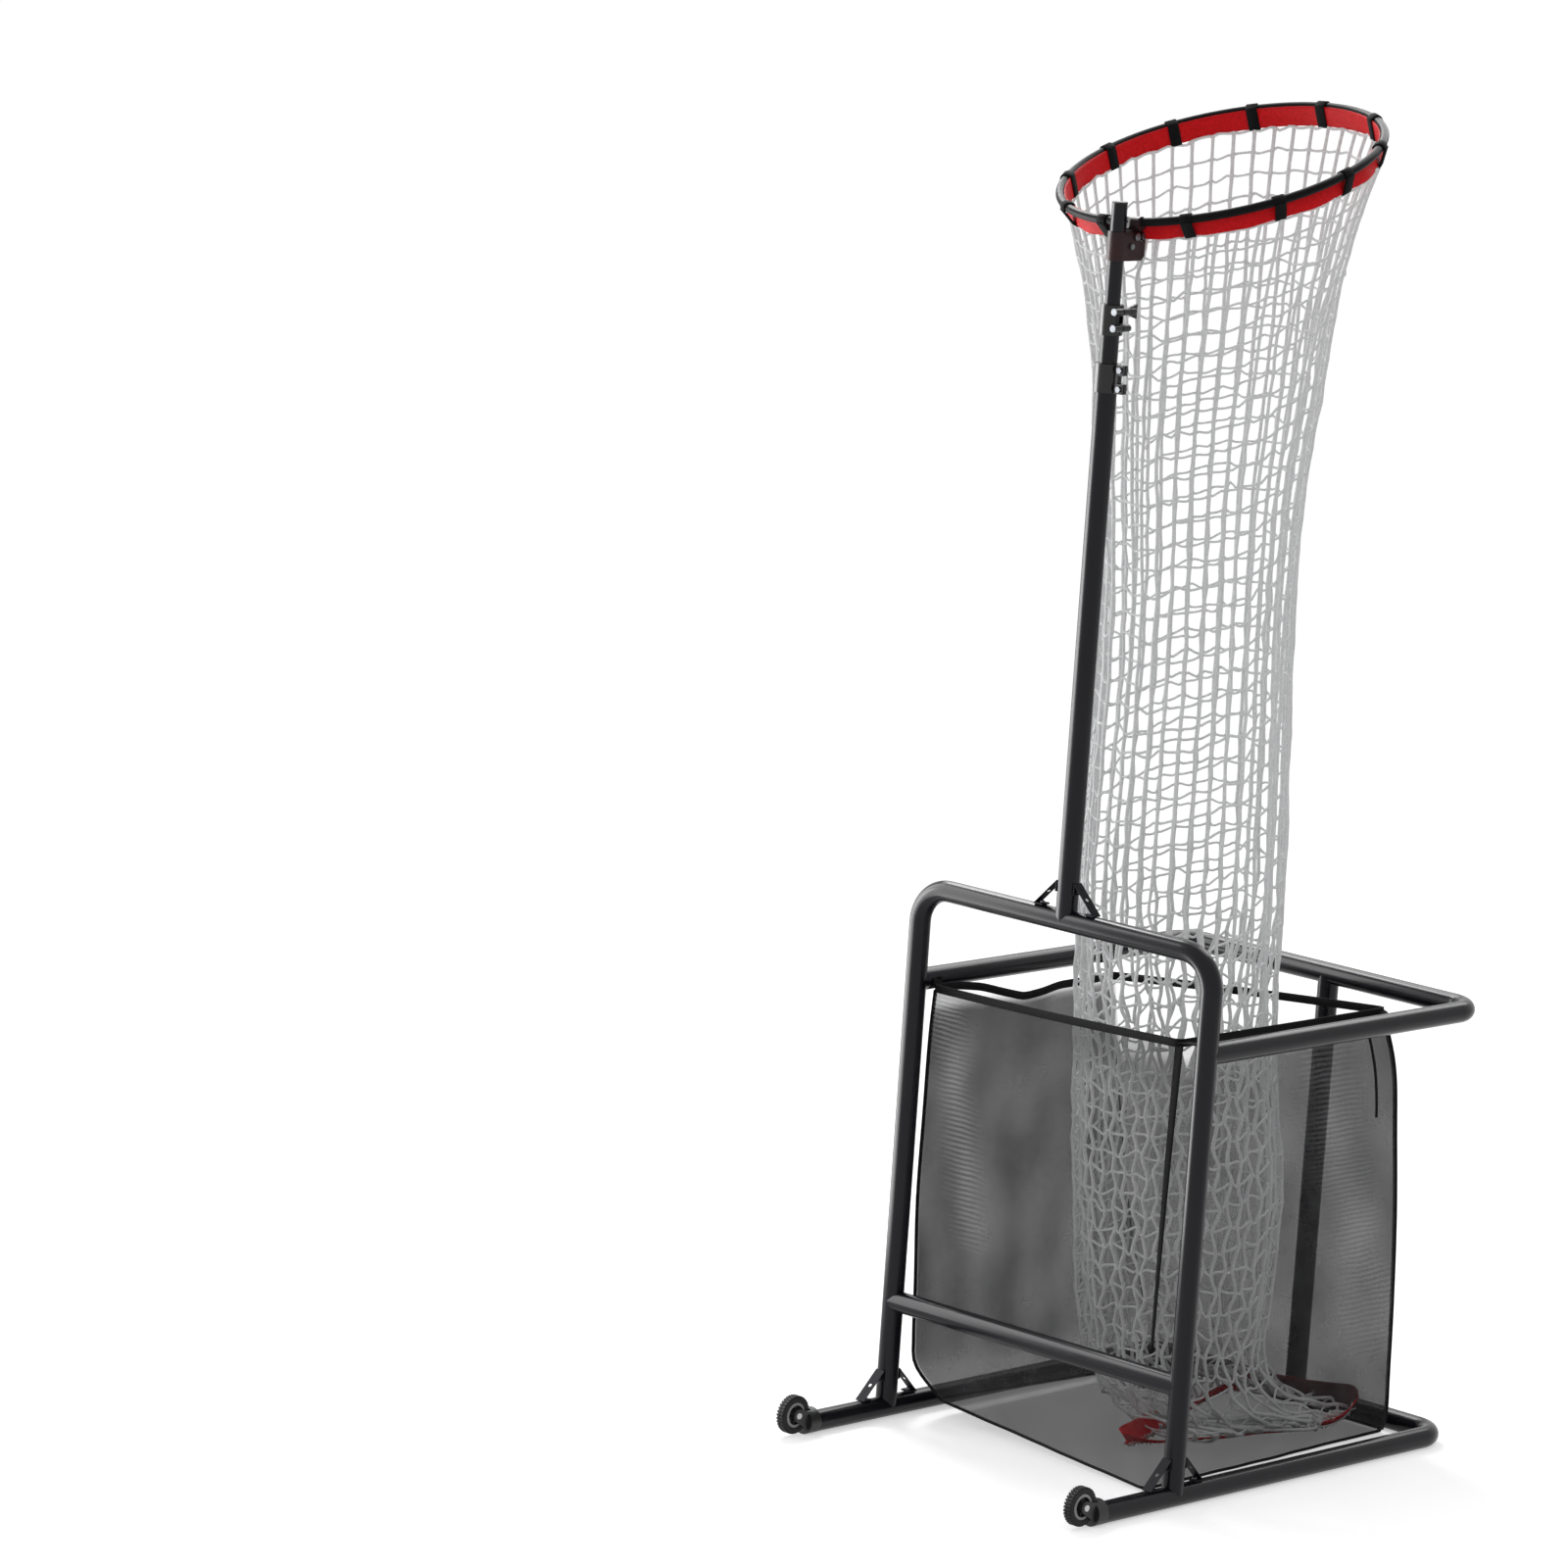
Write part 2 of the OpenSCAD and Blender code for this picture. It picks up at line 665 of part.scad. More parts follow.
module clamp_knob() {
    half = knob_span / 2;
    color(BLACK) at_portal() knob_axis() difference() {
        union() {
            rod_y(boss_r + 0.5, knob_y, knob_y + knob_len * 0.7);
            rotate([0, 90, 0]) rotate([0, 0, 90]) linear_extrude(5, center = true) polygon([
                [knob_y + 1, -7], [knob_y + knob_len * 0.45, -half * 0.75],
                [knob_y + knob_len, -half], [knob_y + knob_len, -half * 0.35],
                [knob_y + knob_len * 0.7, 0], [knob_y + knob_len, half * 0.35],
                [knob_y + knob_len, half], [knob_y + knob_len * 0.45, half * 0.75],
                [knob_y + 1, 7],
            ]);
        }
        rod_y(bolt_r + mast_gap, knob_y - 1, knob_y + knob_len - 5.5);
    }
}

// ---- Top mast and its tilt bracket ---------------------------------------------------------

module top_mast() {
    color(FRAME_COLOUR) at_portal() pipe_z(top_mast_r, tube_wall, top_mast_foot, top_mast_top);
}

module top_foot_bush() {
    color(BLACK) at_portal() difference() {
        rod_z(mid_bore_r - mast_gap, top_mast_foot - foot_floor, top_mast_foot + foot_bush_len);
        rod_z(top_mast_r, top_mast_foot, top_mast_foot + foot_bush_len + 1);
    }
}

module top_cap() {
    color(BLACK) at_portal() {
        rod_z(top_mast_r, top_mast_top, top_mast_top + cap_thick);
        rod_z(top_bore_r - slip_gap, top_mast_top - 15, top_mast_top + eps);
    }
}

module at_pivot() { translate([0, pivot_y, pivot_z]) children(); }
module at_lock() { translate([0, pivot_y + lock_dy, pivot_z + lock_dz]) children(); }

// Places the bolt that pinches the bracket on the mast
module at_bracket_bolt() {
    translate([0, bracket_bolt_y, (bracket_bottom + bracket_top) / 2]) children();
}

function arc_points(centre, r, from, to, steps) = [
    for (i = [0:steps]) let (a = from + (to - from) * i / steps) centre + r * [cos(a), sin(a)]
];

// The curved slot that the lock bolt travels in, of half width w
module lock_slot(from, to, w) {
    polygon(concat(
        arc_points([0, 0], lock_r + w, from, to, 6),
        arc_points(lock_r * [cos(to), sin(to)], w, to + 20, to + 160, 6),
        arc_points([0, 0], lock_r - w, to, from, 6),
        arc_points(lock_r * [cos(from), sin(from)], w, from + 200, from + 340, 6)
    ));
}

module tilt_bracket() {
    height = bracket_top - bracket_bottom;
    color("#2a1416") at_portal() difference() {
        union() {
            rod_z(bracket_outer, bracket_bottom, bracket_top);
            for (side = [0, 1]) mirror([side, 0, 0])
                translate([bracket_inside / 2, 0, 0]) rotate([90, 0, 90])
                    linear_extrude(bracket_thick) polygon([
                        [0, bracket_bottom + 2], [8, bracket_bottom], [ear_y, bracket_bottom],
                        [ear_y + 7, bracket_bottom + 8], [ear_y + 8, bracket_top + 2],
                        [ear_y + 6, bracket_top + 4], [ear_y + 1, bracket_top + 4],
                        [ear_y - 5, bracket_top], [0, bracket_top],
                    ]);
        }
        rod_z(top_mast_r, bracket_bottom - 1, bracket_top + 1);
        translate([-bracket_inside / 2, top_mast_r * 0.6, bracket_bottom - 1])
            cube([bracket_inside, ear_y, height + 2]);
        at_bracket_bolt() rod_x(bolt_r + bolt_gap, -bracket_outer - 1, bracket_outer + 1);
        at_pivot() rod_x(pivot_r + mast_gap, -bracket_outer - 1, bracket_outer + 1);
        at_pivot() rotate([90, 0, 90]) linear_extrude(2 * bracket_outer + 2, center = true)
            lock_slot(lock_angle - tilt_down - 1, lock_angle + tilt_up + 1, pivot_r + 0.4);
    }
}

// A bolt along X with a round head on +X and a hexagon nut on -X
module cross_bolt(r, half, head_r) {
    rod_x(r, -half - nut_h - 1, half + eps);
    rod_x(head_r, half, half + 3.5);
    translate([-half - nut_h, 0, 0]) rotate([0, 90, 0])
        cylinder(r = head_r * 1.05, h = nut_h, $fn = 6);
}

module bracket_bolt() {
    color(STEEL) at_portal() at_bracket_bolt() cross_bolt(bolt_r, bracket_outer, bolt_r * 1.7);
}

module pivot_bolt() {
    color(STEEL) at_portal() at_pivot() cross_bolt(pivot_r, bracket_outer, pivot_r * 1.6);
}

// ---- Hoop ----------------------------------------------------------------------------------

// Places everything from the hoop's own centre and plane
module at_hoop() {
    translate([hoop_shift, hoop_y, hoop_z]) rotate([hoop_tilt, -hoop_lean, 0]) children();
}

module hoop_arc(from, sweep, outer, inner) {
    rotate([0, 0, from]) rotate_extrude(angle = sweep, $fn = 96) translate([hoop_r, 0])
        difference() { circle(r = outer); circle(r = inner); }
}

seam_phase = 45 + strap_phase;
module hoop_quarter(index) {
    color("#101012") at_portal() at_hoop()
        hoop_arc(seam_phase + index * 90, 90, hoop_tube_r, hoop_tube_r - hoop_wall);
}
module hoop_back_arc() { hoop_quarter(0); }
module hoop_left() { hoop_quarter(1); }
module hoop_front() { hoop_quarter(2); }
module hoop_right() { hoop_quarter(3); }

module hoop_ferrules() {
    inner = hoop_tube_r - hoop_wall;
    color(STEEL) at_portal() at_hoop() for (i = [0:3])
        hoop_arc(seam_phase + i * 90 - 5, 10, inner - slip_gap, inner - 1.2);
}

// The tilt lug's cheek round the pivot and the lock bolt, reaching up to the hoop's collar
module lug_body() {
    hull() {
        at_pivot() rod_x(lug_pivot_r, -lug_half, lug_half);
        at_lock() rod_x(lug_lock_r, -lug_half, lug_half);
        translate([0, hoop_back + 6, hoop_near_z - 4]) rod_x(hoop_tube_r, -lug_half, lug_half);
    }
}

module tilt_lug() {
    color(BLACK) at_portal() difference() {
        union() {
            lug_body();
            translate([0, hoop_back + 1, hoop_near_z + 1]) rotate([0, -hoop_lean, 0])
                rod_x(hoop_tube_r + hoop_collar_wall, -hoop_collar_len / 2, hoop_collar_len / 2);
        }
        at_hoop() rotate([0, 0, 255]) rotate_extrude(angle = 30, $fn = 96)
            translate([hoop_r, 0]) circle(r = hoop_tube_r + 0.02);
        hull() for (a = [0, -tilt_up]) at_pivot() rotate([a, 0, 0])
            translate([0, -pivot_y, -40]) cylinder(r = top_mast_r + 1.2, h = 120);
        at_pivot() rod_x(pivot_r + mast_gap, -lug_half - 1, lug_half + 1);
        at_lock() rod_x(pivot_r + slip_gap, -lug_half - 1, lug_half + 1);
    }
}

module tilt_lock_bolt() {
    head_gap = 0.4;
    color(STEEL) at_portal() at_lock()
        cross_bolt(pivot_r, bracket_outer + head_gap, pivot_r * 1.6);
}

module hoop_band() {
    color(RED) at_portal() difference() {
        at_hoop() rotate_extrude($fn = 96)
            translate([band_r - band_thick, -band_drop]) square([band_thick, band_drop + 3]);
        translate([-band_notch / 2, 0, hoop_near_z - 3 * band_drop])
            cube([band_notch, hoop_back + 60, 6 * band_drop]);
    }
}

// The outline of one strap's loop, seen along the hoop's tube
module strap_loop(grow) {
    hull() {
        circle(r = hoop_tube_r + strap_clear + grow, $fn = 32);
        translate([-(hoop_tube_r + rest_gap + band_thick / 2), -band_drop])
            circle(r = band_thick / 2 + strap_clear + grow, $fn = 16);
        translate([-(hoop_tube_r + rest_gap + band_thick / 2), 3])
            circle(r = band_thick / 2 + strap_clear + grow, $fn = 16);
    }
}

module band_straps() {
    color("#141414") at_portal() at_hoop() for (i = [0:strap_count - 1])
        rotate([0, 0, strap_phase + strap_drift[i] + i * 360 / strap_count]) translate([hoop_r, 0, 0])
            rotate([90, 0, 0]) linear_extrude(strap_width, center = true) difference() {
                strap_loop(strap_thick);
                strap_loop(0);
            }
}

// ---- Mesh chute ----------------------------------------------------------------------------

// Height of the chute's upper edge in the hoop's plane, just under the straps
net_top_z = -(band_drop + band_thick / 2 + strap_clear + strap_thick + rest_gap);

// Centre and radius of the hanging chute, from its high seam down to where it starts to spread
net_path = [
    [-25, 296, net_seam_high, net_r_high],
    [-20, 290, 1695, net_r_high * 0.93],
    [-15, 296, 1523, net_r_waist],
    [-10, 298, 1351, net_r_waist],
    [-4, 296, net_seam_low, net_r_low],
];
net_path_low = [
    [-4, 296, net_seam_low - rest_gap, net_r_low],
    [-1, 297, 960, net_r_low],
    [2, 301, 850, net_r_low * 0.98],
    [8, 316, 651, net_r_low * 0.98],
    [14, 334, 475, net_r_foot],
    [18, 340, 297, net_r_foot * 0.94],
    [20, 345, net_spread_z, net_r_foot * 0.9],
];
net_sides = 48;

function level_ring(station, inset) = [
    for (i = [0:net_sides - 1]) let (a = i * 360 / net_sides, r = station[3] - inset)
        [station[0] + r * cos(a), station[1] + r * sin(a), station[2]]
];

// A point in the hoop's own plane, at angle a, radius r and height z above it
function hoop_point(a, r, z) = let (
    y = r * sin(a) * cos(hoop_tilt) - z * sin(hoop_tilt),
    up = r * sin(a) * sin(hoop_tilt) + z * cos(hoop_tilt),
    x = r * cos(a)
) [
    hoop_shift + x * cos(hoop_lean) - up * sin(hoop_lean), hoop_y + y,
    hoop_z + x * sin(hoop_lean) + up * cos(hoop_lean)
];
function tilted_ring(r, z) = [
    for (i = [0:net_sides - 1]) hoop_point(i * 360 / net_sides, r, z)
];

// A closed wall of revolution-like rings: the rings run up the outside and down the inside
module chute_wall(rings) {
    n = net_sides;
    m = len(rings);
    polyhedron(
        points = [for (ring = rings) each ring],
        faces = [for (j = [0:m - 1]) for (i = [0:n - 1]) let (
            k = (j + 1) % m, a = j * n + i, b = j * n + (i + 1) % n,
            c = k * n + i, d = k * n + (i + 1) % n
        ) each [[a, c, d], [a, d, b]]],
        convexity = 6
    );
}

// The rings of a chute wall whose stations are listed from the top down
function wall_rings(path) = concat(
    [for (i = [len(path) - 1:-1:0]) level_ring(path[i], 0)],
    [for (station = path) level_ring(station, net_wall)]
);

module net_upper() {
    low = net_path[0] + [0, 0, rest_gap, 0];
    color(NET_COLOUR) at_portal() difference() {
        chute_wall([
            level_ring(low, 0),
            tilted_ring(band_r, net_top_z),
            tilted_ring(band_r - net_wall, net_top_z),
            level_ring(low, net_wall),
        ]);
        translate([-band_notch / 2, 0, pivot_z - 60]) cube([band_notch, ear_y + 24, 140]);
    }
}

module net_middle() {
    color(NET_COLOUR) at_portal() chute_wall(wall_rings(net_path));
}

module net_lower() {
    foot = [cuff_x, cuff_y, cuff_z + cuff_h, cuff_r];
    color(NET_COLOUR) at_portal() chute_wall(wall_rings(concat(net_path_low, [foot])));
}

module net_cuff() {
    color(RED) at_portal() translate([cuff_x, cuff_y, cuff_z])
        difference() { cylinder(r = cuff_r, h = cuff_h); rod_z(cuff_r - net_wall, -1, cuff_h + 1); }
}

// ---- Transport wheels ----------------------------------------------------------------------

module at_wheel(side) { at_portal() translate([side * half_w, wheel_y, wheel_z]) children(); }

module wheel_housing(side) {
    color(BLACK) at_portal() translate([side * half_w, 0, 0]) difference() {
        union() {
            translate([0, 0, housing_z]) rod_y(housing_d / 2, -housing_front, -skid_front - lock_ring_w);
            translate([0, 0, base_z]) rod_y(slip_r, -skid_front - lock_ring_w - 1, -skid_front + 35);
            for (arm = [0, 1]) mirror([arm, 0, 0]) hull() {
                translate([0, wheel_y, wheel_z]) rod_x(11, fork_inside / 2, fork_outside);
                translate([0, -housing_front + 8, housing_z + 2])
                    rod_x(16, fork_inside / 2, fork_outside);
            }
        }
        translate([0, wheel_y, wheel_z]) rod_x(wheel_r + 2.5, -fork_inside / 2, fork_inside / 2);
        translate([0, wheel_y, wheel_z]) rod_x(axle_r + slip_gap, -housing_d, housing_d);
    }
}
module left_wheel_housing() { wheel_housing(-1); }
module right_wheel_housing() { wheel_housing(1); }

module lock_rings() {
    color(STEEL) at_portal() for (side = [-1, 1]) translate([side * half_w, 0, base_z])
        difference() {
            union() {
                rod_y(tube_r - 0.5, -skid_front - lock_ring_w + eps, -skid_front - eps);
                for (i = [0:lock_ring_teeth - 1]) rotate([0, i * 360 / lock_ring_teeth, 0])
                    translate([tube_r - 1.5, 0, 0])
                        rod_y(1.5, -skid_front - lock_ring_w + eps, -skid_front - eps);
            }
            rod_y(slip_r + slip_gap, -skid_front - lock_ring_w - 1, -skid_front + 1);
        }
}

module wheel_axles() {
    color(STEEL) for (side = [-1, 1]) at_wheel(side) rod_x(axle_r, -fork_outside, fork_outside);
}

module axle_caps() {
    color("white") for (side = [-1, 1]) at_wheel(side) for (end = [0, 1]) mirror([end, 0, 0])
        rod_x(5.5, fork_outside, fork_outside + 2);
}

module tyre(side) {
    color(BLACK) at_wheel(side) rotate([0, 90, 0]) rotate_extrude($fn = 72) polygon([
        [hub_r + tyre_gap, -wheel_w / 2 + 1], [wheel_r - 5, -wheel_w / 2], [wheel_r - 1.5, -wheel_w / 2 + 1],
        [wheel_r, -wheel_w / 2 + 3], [wheel_r, wheel_w / 2 - 3], [wheel_r - 1.5, wheel_w / 2 - 1],
        [wheel_r - 5, wheel_w / 2], [hub_r + tyre_gap, wheel_w / 2 - 1],
    ]);
}
module left_tyre() { tyre(-1); }
module right_tyre() { tyre(1); }

module hub(side) {
    boss = axle_r + 4;
    color(BLACK) at_wheel(side) rotate([0, 90, 0]) difference() {
        rotate_extrude($fn = 72) polygon([
            [axle_r + wheel_gap, -wheel_w / 2 - 0.5], [boss, -wheel_w / 2 - 0.5], [boss + 2, -3],
            [hub_r - 4, -3], [hub_r - 2, -wheel_w / 2 + 1], [hub_r, -wheel_w / 2 + 1],
            [hub_r, wheel_w / 2 - 1], [hub_r - 2, wheel_w / 2 - 1], [hub_r - 4, 3], [boss + 2, 3],
            [boss, wheel_w / 2 + 0.5], [axle_r + wheel_gap, wheel_w / 2 + 0.5],
        ]);
        for (i = [0:4]) rotate([0, 0, i * 72]) translate([(boss + hub_r) / 2, 0, 0])
            rod_z(2.6, -wheel_w, wheel_w);
    }
}
module left_hub() { hub(-1); }
module right_hub() { hub(1); }

// ---- Catch bag -----------------------------------------------------------------------------

// Moves each corner of a four-sided outline towards its middle by a fixed step on both axes
function inset_outline(points, step) = [
    [points[0][0] + step, points[0][1] + step], [points[1][0] - step, points[1][1] + step],
    [points[2][0] - step, points[2][1] - step], [points[3][0] + step, points[3][1] - step],
];

module bag_slice(points, z) { translate([0, 0, z]) linear_extrude(0.5) polygon(points); }

module bag_form(step, floor_up, rim_up) {
    hull() {
        bag_slice(inset_outline(bag_top, step), bag_rim_z - 0.5 + rim_up);
        bag_slice(inset_outline(bag_bottom, step), bag_floor_z + floor_up);
    }
}

module catch_bag() {
    color(BAG_COLOUR) at_portal() difference() {
        bag_form(0, 0, 0);
        bag_form(bag_wall, bag_wall, 1);
    }
}

module bag_binding() {
    color("#101010") at_portal() {
        translate([0, 0, bag_rim_z]) linear_extrude(binding_h) difference() {
            polygon(bag_top);
            polygon(inset_outline(bag_top, bag_wall + 1));
        }
        difference() {
            for (i = [0:3]) hull() {
                at_bag_corner(bag_top, i) translate([0, 0, bag_rim_z - 1]) binding_slice();
                at_bag_corner(bag_bottom, i) translate([0, 0, bag_floor_z]) binding_slice();
            }
            bag_form(0, 0, 0);
        }
    }
}

module at_bag_corner(points, i) { translate([points[i][0], points[i][1], 0]) children(); }
module binding_slice() { translate([-1.5, -1.5, 0]) cube([3, 3, 0.5]); }

// A tie round a rim rail at the given Y, with a tab in to the bag's corner
module rail_tie(side, corner_x, y) {
    reach = half_w - tube_r - abs(corner_x) + 1;
    start = side > 0 ? half_w - tube_r - reach : -(half_w - tube_r + 1);
    difference() {
        union() {
            translate([side * half_w, 0, rim_height]) rod_y(tube_r + tie_thick, y, y + tie_width);
            translate([start, y, bag_rim_z + binding_h + 0.05])
                cube([reach + 1, tie_width, tie_thick]);
        }
        translate([side * half_w, 0, rim_height]) rod_y(tube_r + 0.02, y - 1, y + tie_width + 1);
    }
}

module bag_ties() {
    color("#101010") at_portal() {
        rail_tie(-1, bag_top[0][0], bag_top[0][1]);
        rail_tie(1, bag_top[1][0], bag_top[1][1]);
        rail_tie(1, bag_top[2][0], bag_top[2][1] - tie_width);
        rail_tie(-1, bag_top[3][0], bag_top[3][1] - tie_width);
    }
}

// ---- The model -----------------------------------------------------------------------------

left_skid();
right_skid();
rear_base_bar();
left_leg();
right_leg();
arch_top();
mid_bar();
left_rim_rail();
right_rim_rail();
rear_rim_bar();
rear_upright();
seam_ferrules();
branch_spigots();
set_screws();
mast_gussets();
foot_gussets();
gusset_screws();
lower_mast();
lower_guide_bush();
lower_clamp();
lower_clamp_screws();
mid_mast();
mid_foot_bush();
upper_guide_bush();
upper_clamp();
upper_clamp_bolts();
clamp_knob();
top_mast();
top_foot_bush();
top_cap();
tilt_bracket();
bracket_bolt();
pivot_bolt();
tilt_lug();
tilt_lock_bolt();
hoop_front();
hoop_right();
hoop_back_arc();
hoop_left();
hoop_ferrules();
hoop_band();
band_straps();
net_upper();
net_middle();
net_lower();
net_cuff();
left_wheel_housing();
right_wheel_housing();
lock_rings();
wheel_axles();
axle_caps();
left_tyre();
left_hub();
right_tyre();
right_hub();
catch_bag();
bag_binding();
bag_ties();
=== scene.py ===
"""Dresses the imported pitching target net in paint, cloth, cord, webbing and rubber."""

import json
import logging
import math
from collections.abc import Iterator
from contextlib import contextmanager
from dataclasses import dataclass, field
from enum import Enum

import bpy
import numpy as np
from mathutils import Matrix, Vector, noise


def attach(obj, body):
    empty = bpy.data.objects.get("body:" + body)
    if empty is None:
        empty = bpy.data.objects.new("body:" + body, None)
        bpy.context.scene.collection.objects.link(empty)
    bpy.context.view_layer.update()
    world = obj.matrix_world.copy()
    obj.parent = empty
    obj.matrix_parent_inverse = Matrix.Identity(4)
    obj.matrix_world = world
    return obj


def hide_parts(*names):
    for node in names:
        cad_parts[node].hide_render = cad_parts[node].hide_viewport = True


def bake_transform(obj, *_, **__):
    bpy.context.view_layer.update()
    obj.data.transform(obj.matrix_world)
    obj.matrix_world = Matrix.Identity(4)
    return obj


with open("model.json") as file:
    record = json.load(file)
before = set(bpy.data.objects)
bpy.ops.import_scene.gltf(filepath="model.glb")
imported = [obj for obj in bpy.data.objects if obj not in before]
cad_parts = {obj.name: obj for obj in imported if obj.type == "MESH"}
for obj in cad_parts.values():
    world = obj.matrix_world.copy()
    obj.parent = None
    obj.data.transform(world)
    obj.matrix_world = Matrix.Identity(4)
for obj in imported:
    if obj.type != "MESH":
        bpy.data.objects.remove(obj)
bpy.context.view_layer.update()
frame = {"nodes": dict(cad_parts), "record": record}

LOG = logging.getLogger("target_net")
LEG_PLANE_Y = -0.23725
RAIL_X = 337.5
SHARP_ANGLE = math.radians(35)


# ---- Places ---------------------------------------------------------------------------------


def row(points: object) -> np.ndarray:
    """Turns millimetres counted from the plane of the two legs into row-frame metres.

    Args:
        points: One point or any array of points, with x, y, z on its last axis.

    Returns:
        A new array of the same shape, in metres.
    """
    made = np.array(points, float) * 0.001
    made[..., 1] += LEG_PLANE_Y
    return made


def unit(vectors: np.ndarray) -> np.ndarray:
    """Scales vectors on the last axis to length one."""
    return vectors / np.maximum(np.linalg.norm(vectors, axis=-1, keepdims=True), 1e-12)


def heading(line: np.ndarray, reach: int = 1, axis: int = 0) -> np.ndarray:
    """Returns the direction of a closed line at each of its points.

    Args:
        line: The line's points.
        reach: How many points ahead and behind it looks.
        axis: The axis that runs along the line.

    Returns:
        Unit vectors.
    """
    return unit(np.roll(line, -reach, axis) - np.roll(line, reach, axis))


def bend(
    start: np.ndarray, leave: np.ndarray, end: np.ndarray, arrive: np.ndarray, t: np.ndarray
) -> np.ndarray:
    """Runs smooth curves from start points to end points with given speeds at both.

    Args:
        start: Where the curves start.
        leave: Their speed there.
        end: Where they end.
        arrive: Their speed there.
        t: Shares of the way, from 0 to 1.

    Returns:
        The points at those shares.
    """
    return (
        (2 * t**3 - 3 * t**2 + 1) * start
        + (t**3 - 2 * t**2 + t) * leave
        + (3 * t**2 - 2 * t**3) * end
        + (t**3 - t**2) * arrive
    )


def ease(t: np.ndarray) -> np.ndarray:
    """Smooth step from 0 to 1."""
    t = np.clip(t, 0.0, 1.0)
    return t * t * (3.0 - 2.0 * t)


def spline(points: np.ndarray, steps: int, closed: bool = False) -> np.ndarray:
    """Runs a Catmull-Rom curve through points, on any number of columns.

    Args:
        points: Points to pass through, one per line.
        steps: How many samples each stretch between two points gets.
        closed: Whether the last point joins the first.

    Returns:
        The samples, with the last point added when the curve is open.
    """
    p = np.asarray(points, float)
    if closed:
        p = np.concatenate([p[-1:], p, p[:2]])
    else:
        p = np.concatenate([2 * p[:1] - p[1:2], p, 2 * p[-1:] - p[-2:-1]])
    t = (np.arange(steps) / steps)[None, :, None]
    a, b, c, d = (p[k : len(p) - 3 + k][:, None, :] for k in range(4))
    made = 0.5 * (
        2 * b + (c - a) * t + (2 * a - 5 * b + 4 * c - d) * t**2 + (3 * b - a - 3 * c + d) * t**3
    )
    made = made.reshape(-1, p.shape[1])
    return made if closed else np.concatenate([made, p[-2:-1]])


def lengths(line: np.ndarray) -> np.ndarray:
    """Returns how far along a line each of its points lies."""
    return np.concatenate([[0], np.cumsum(np.linalg.norm(np.diff(line[:, :3], axis=0), axis=1))])


def even(points: np.ndarray, count: int, closed: bool = False) -> np.ndarray:
    """Samples a fine polyline again at even steps of length.

    Args:
        points: The polyline's points, on three or more columns, with x, y, z first.
        count: How many samples to return.
        closed: Whether the line returns to its start, which isn't repeated.

    Returns:
        The new samples.
    """
    p = np.concatenate([points, points[:1]]) if closed else points
    run = lengths(p)
    at = np.linspace(0, run[-1], count, endpoint=not closed)
    return np.stack([np.interp(at, run, p[:, k]) for k in range(p.shape[1])], axis=1)


def drift(points: np.ndarray) -> np.ndarray:
    """Returns soft noise between about -1 and 1 at each point."""
    return np.array([noise.noise(Vector(p)) for p in points])


@dataclass(frozen=True)
class HoopPlace:
    """Where the tilted hoop sits, in millimetres and degrees."""

    radius: float = 284.0
    tube_radius: float = 7.5
    shift: float = -32.5
    back: float = 28.0
    near_z: float = 2170.0
    tilt: float = 19.0
    lean: float = 3.4
    band_drop: float = 33.0

    def at(self, angle: object, radius: object, height: object) -> np.ndarray:
        """Gives points in the hoop's own plane.

        Args:
            angle: Angles round the hoop in radians, from the right side towards the back.
            radius: Distances from the hoop's middle.
            height: Distances above the hoop's plane.

        Returns:
            Points in millimetres from the leg plane.
        """
        angle, radius, height = np.broadcast_arrays(angle, radius, height)
        tilt, lean = math.radians(self.tilt), math.radians(self.lean)
        x = radius * np.cos(angle)
        y = radius * np.sin(angle) * math.cos(tilt) - height * math.sin(tilt)
        up = radius * np.sin(angle) * math.sin(tilt) + height * math.cos(tilt)
        middle_y = self.back + self.radius * math.cos(tilt)
        middle_z = self.near_z + self.radius * math.sin(tilt)
        return np.stack(
            [
                self.shift + x * math.cos(lean) - up * math.sin(lean),
                middle_y + y,
                middle_z + x * math.sin(lean) + up * math.cos(lean),
            ],
            axis=-1,
        )

    @property
    def band_radius(self) -> float:
        """Outer radius of the band that lines the tube."""
        return self.radius - self.tube_radius - 0.3


HOOP = HoopPlace()


# ---- Materials ------------------------------------------------------------------------------


def linear(hex_colour: str) -> tuple[float, float, float, float]:
    """Turns an sRGB hex colour such as '#3a3a3e' into linear RGBA."""
    parts = [int(hex_colour[k : k + 2], 16) / 255 for k in (1, 3, 5)]
    return (*(p / 12.92 if p <= 0.04045 else ((p + 0.055) / 1.055) ** 2.4 for p in parts), 1.0)


def add_node(
    tree: bpy.types.NodeTree, kind: str, inputs: dict | None = None, **settings: object
) -> bpy.types.Node:
    """Adds one node with its settings, values and links.

    Args:
        tree: The node tree it goes into.
        kind: The node's type name.
        inputs: Values by socket name or number, where a socket stands for a link.
        **settings: Attributes of the node itself.

    Returns:
        The new node.
    """
    node = tree.nodes.new(kind)
    for name, value in settings.items():
        setattr(node, name, value)
    for key, value in (inputs or {}).items():
        if isinstance(value, bpy.types.NodeSocket):
            tree.links.new(value, node.inputs[key])
        else:
            node.inputs[key].default_value = value
    return node


def maths(tree: bpy.types.NodeTree, operation: str, *values: object) -> bpy.types.NodeSocket:
    """Returns the result of one Math node, fed with numbers or sockets in their order."""
    node = add_node(tree, "ShaderNodeMath", dict(enumerate(values)), operation=operation)
    return node.outputs["Value"]


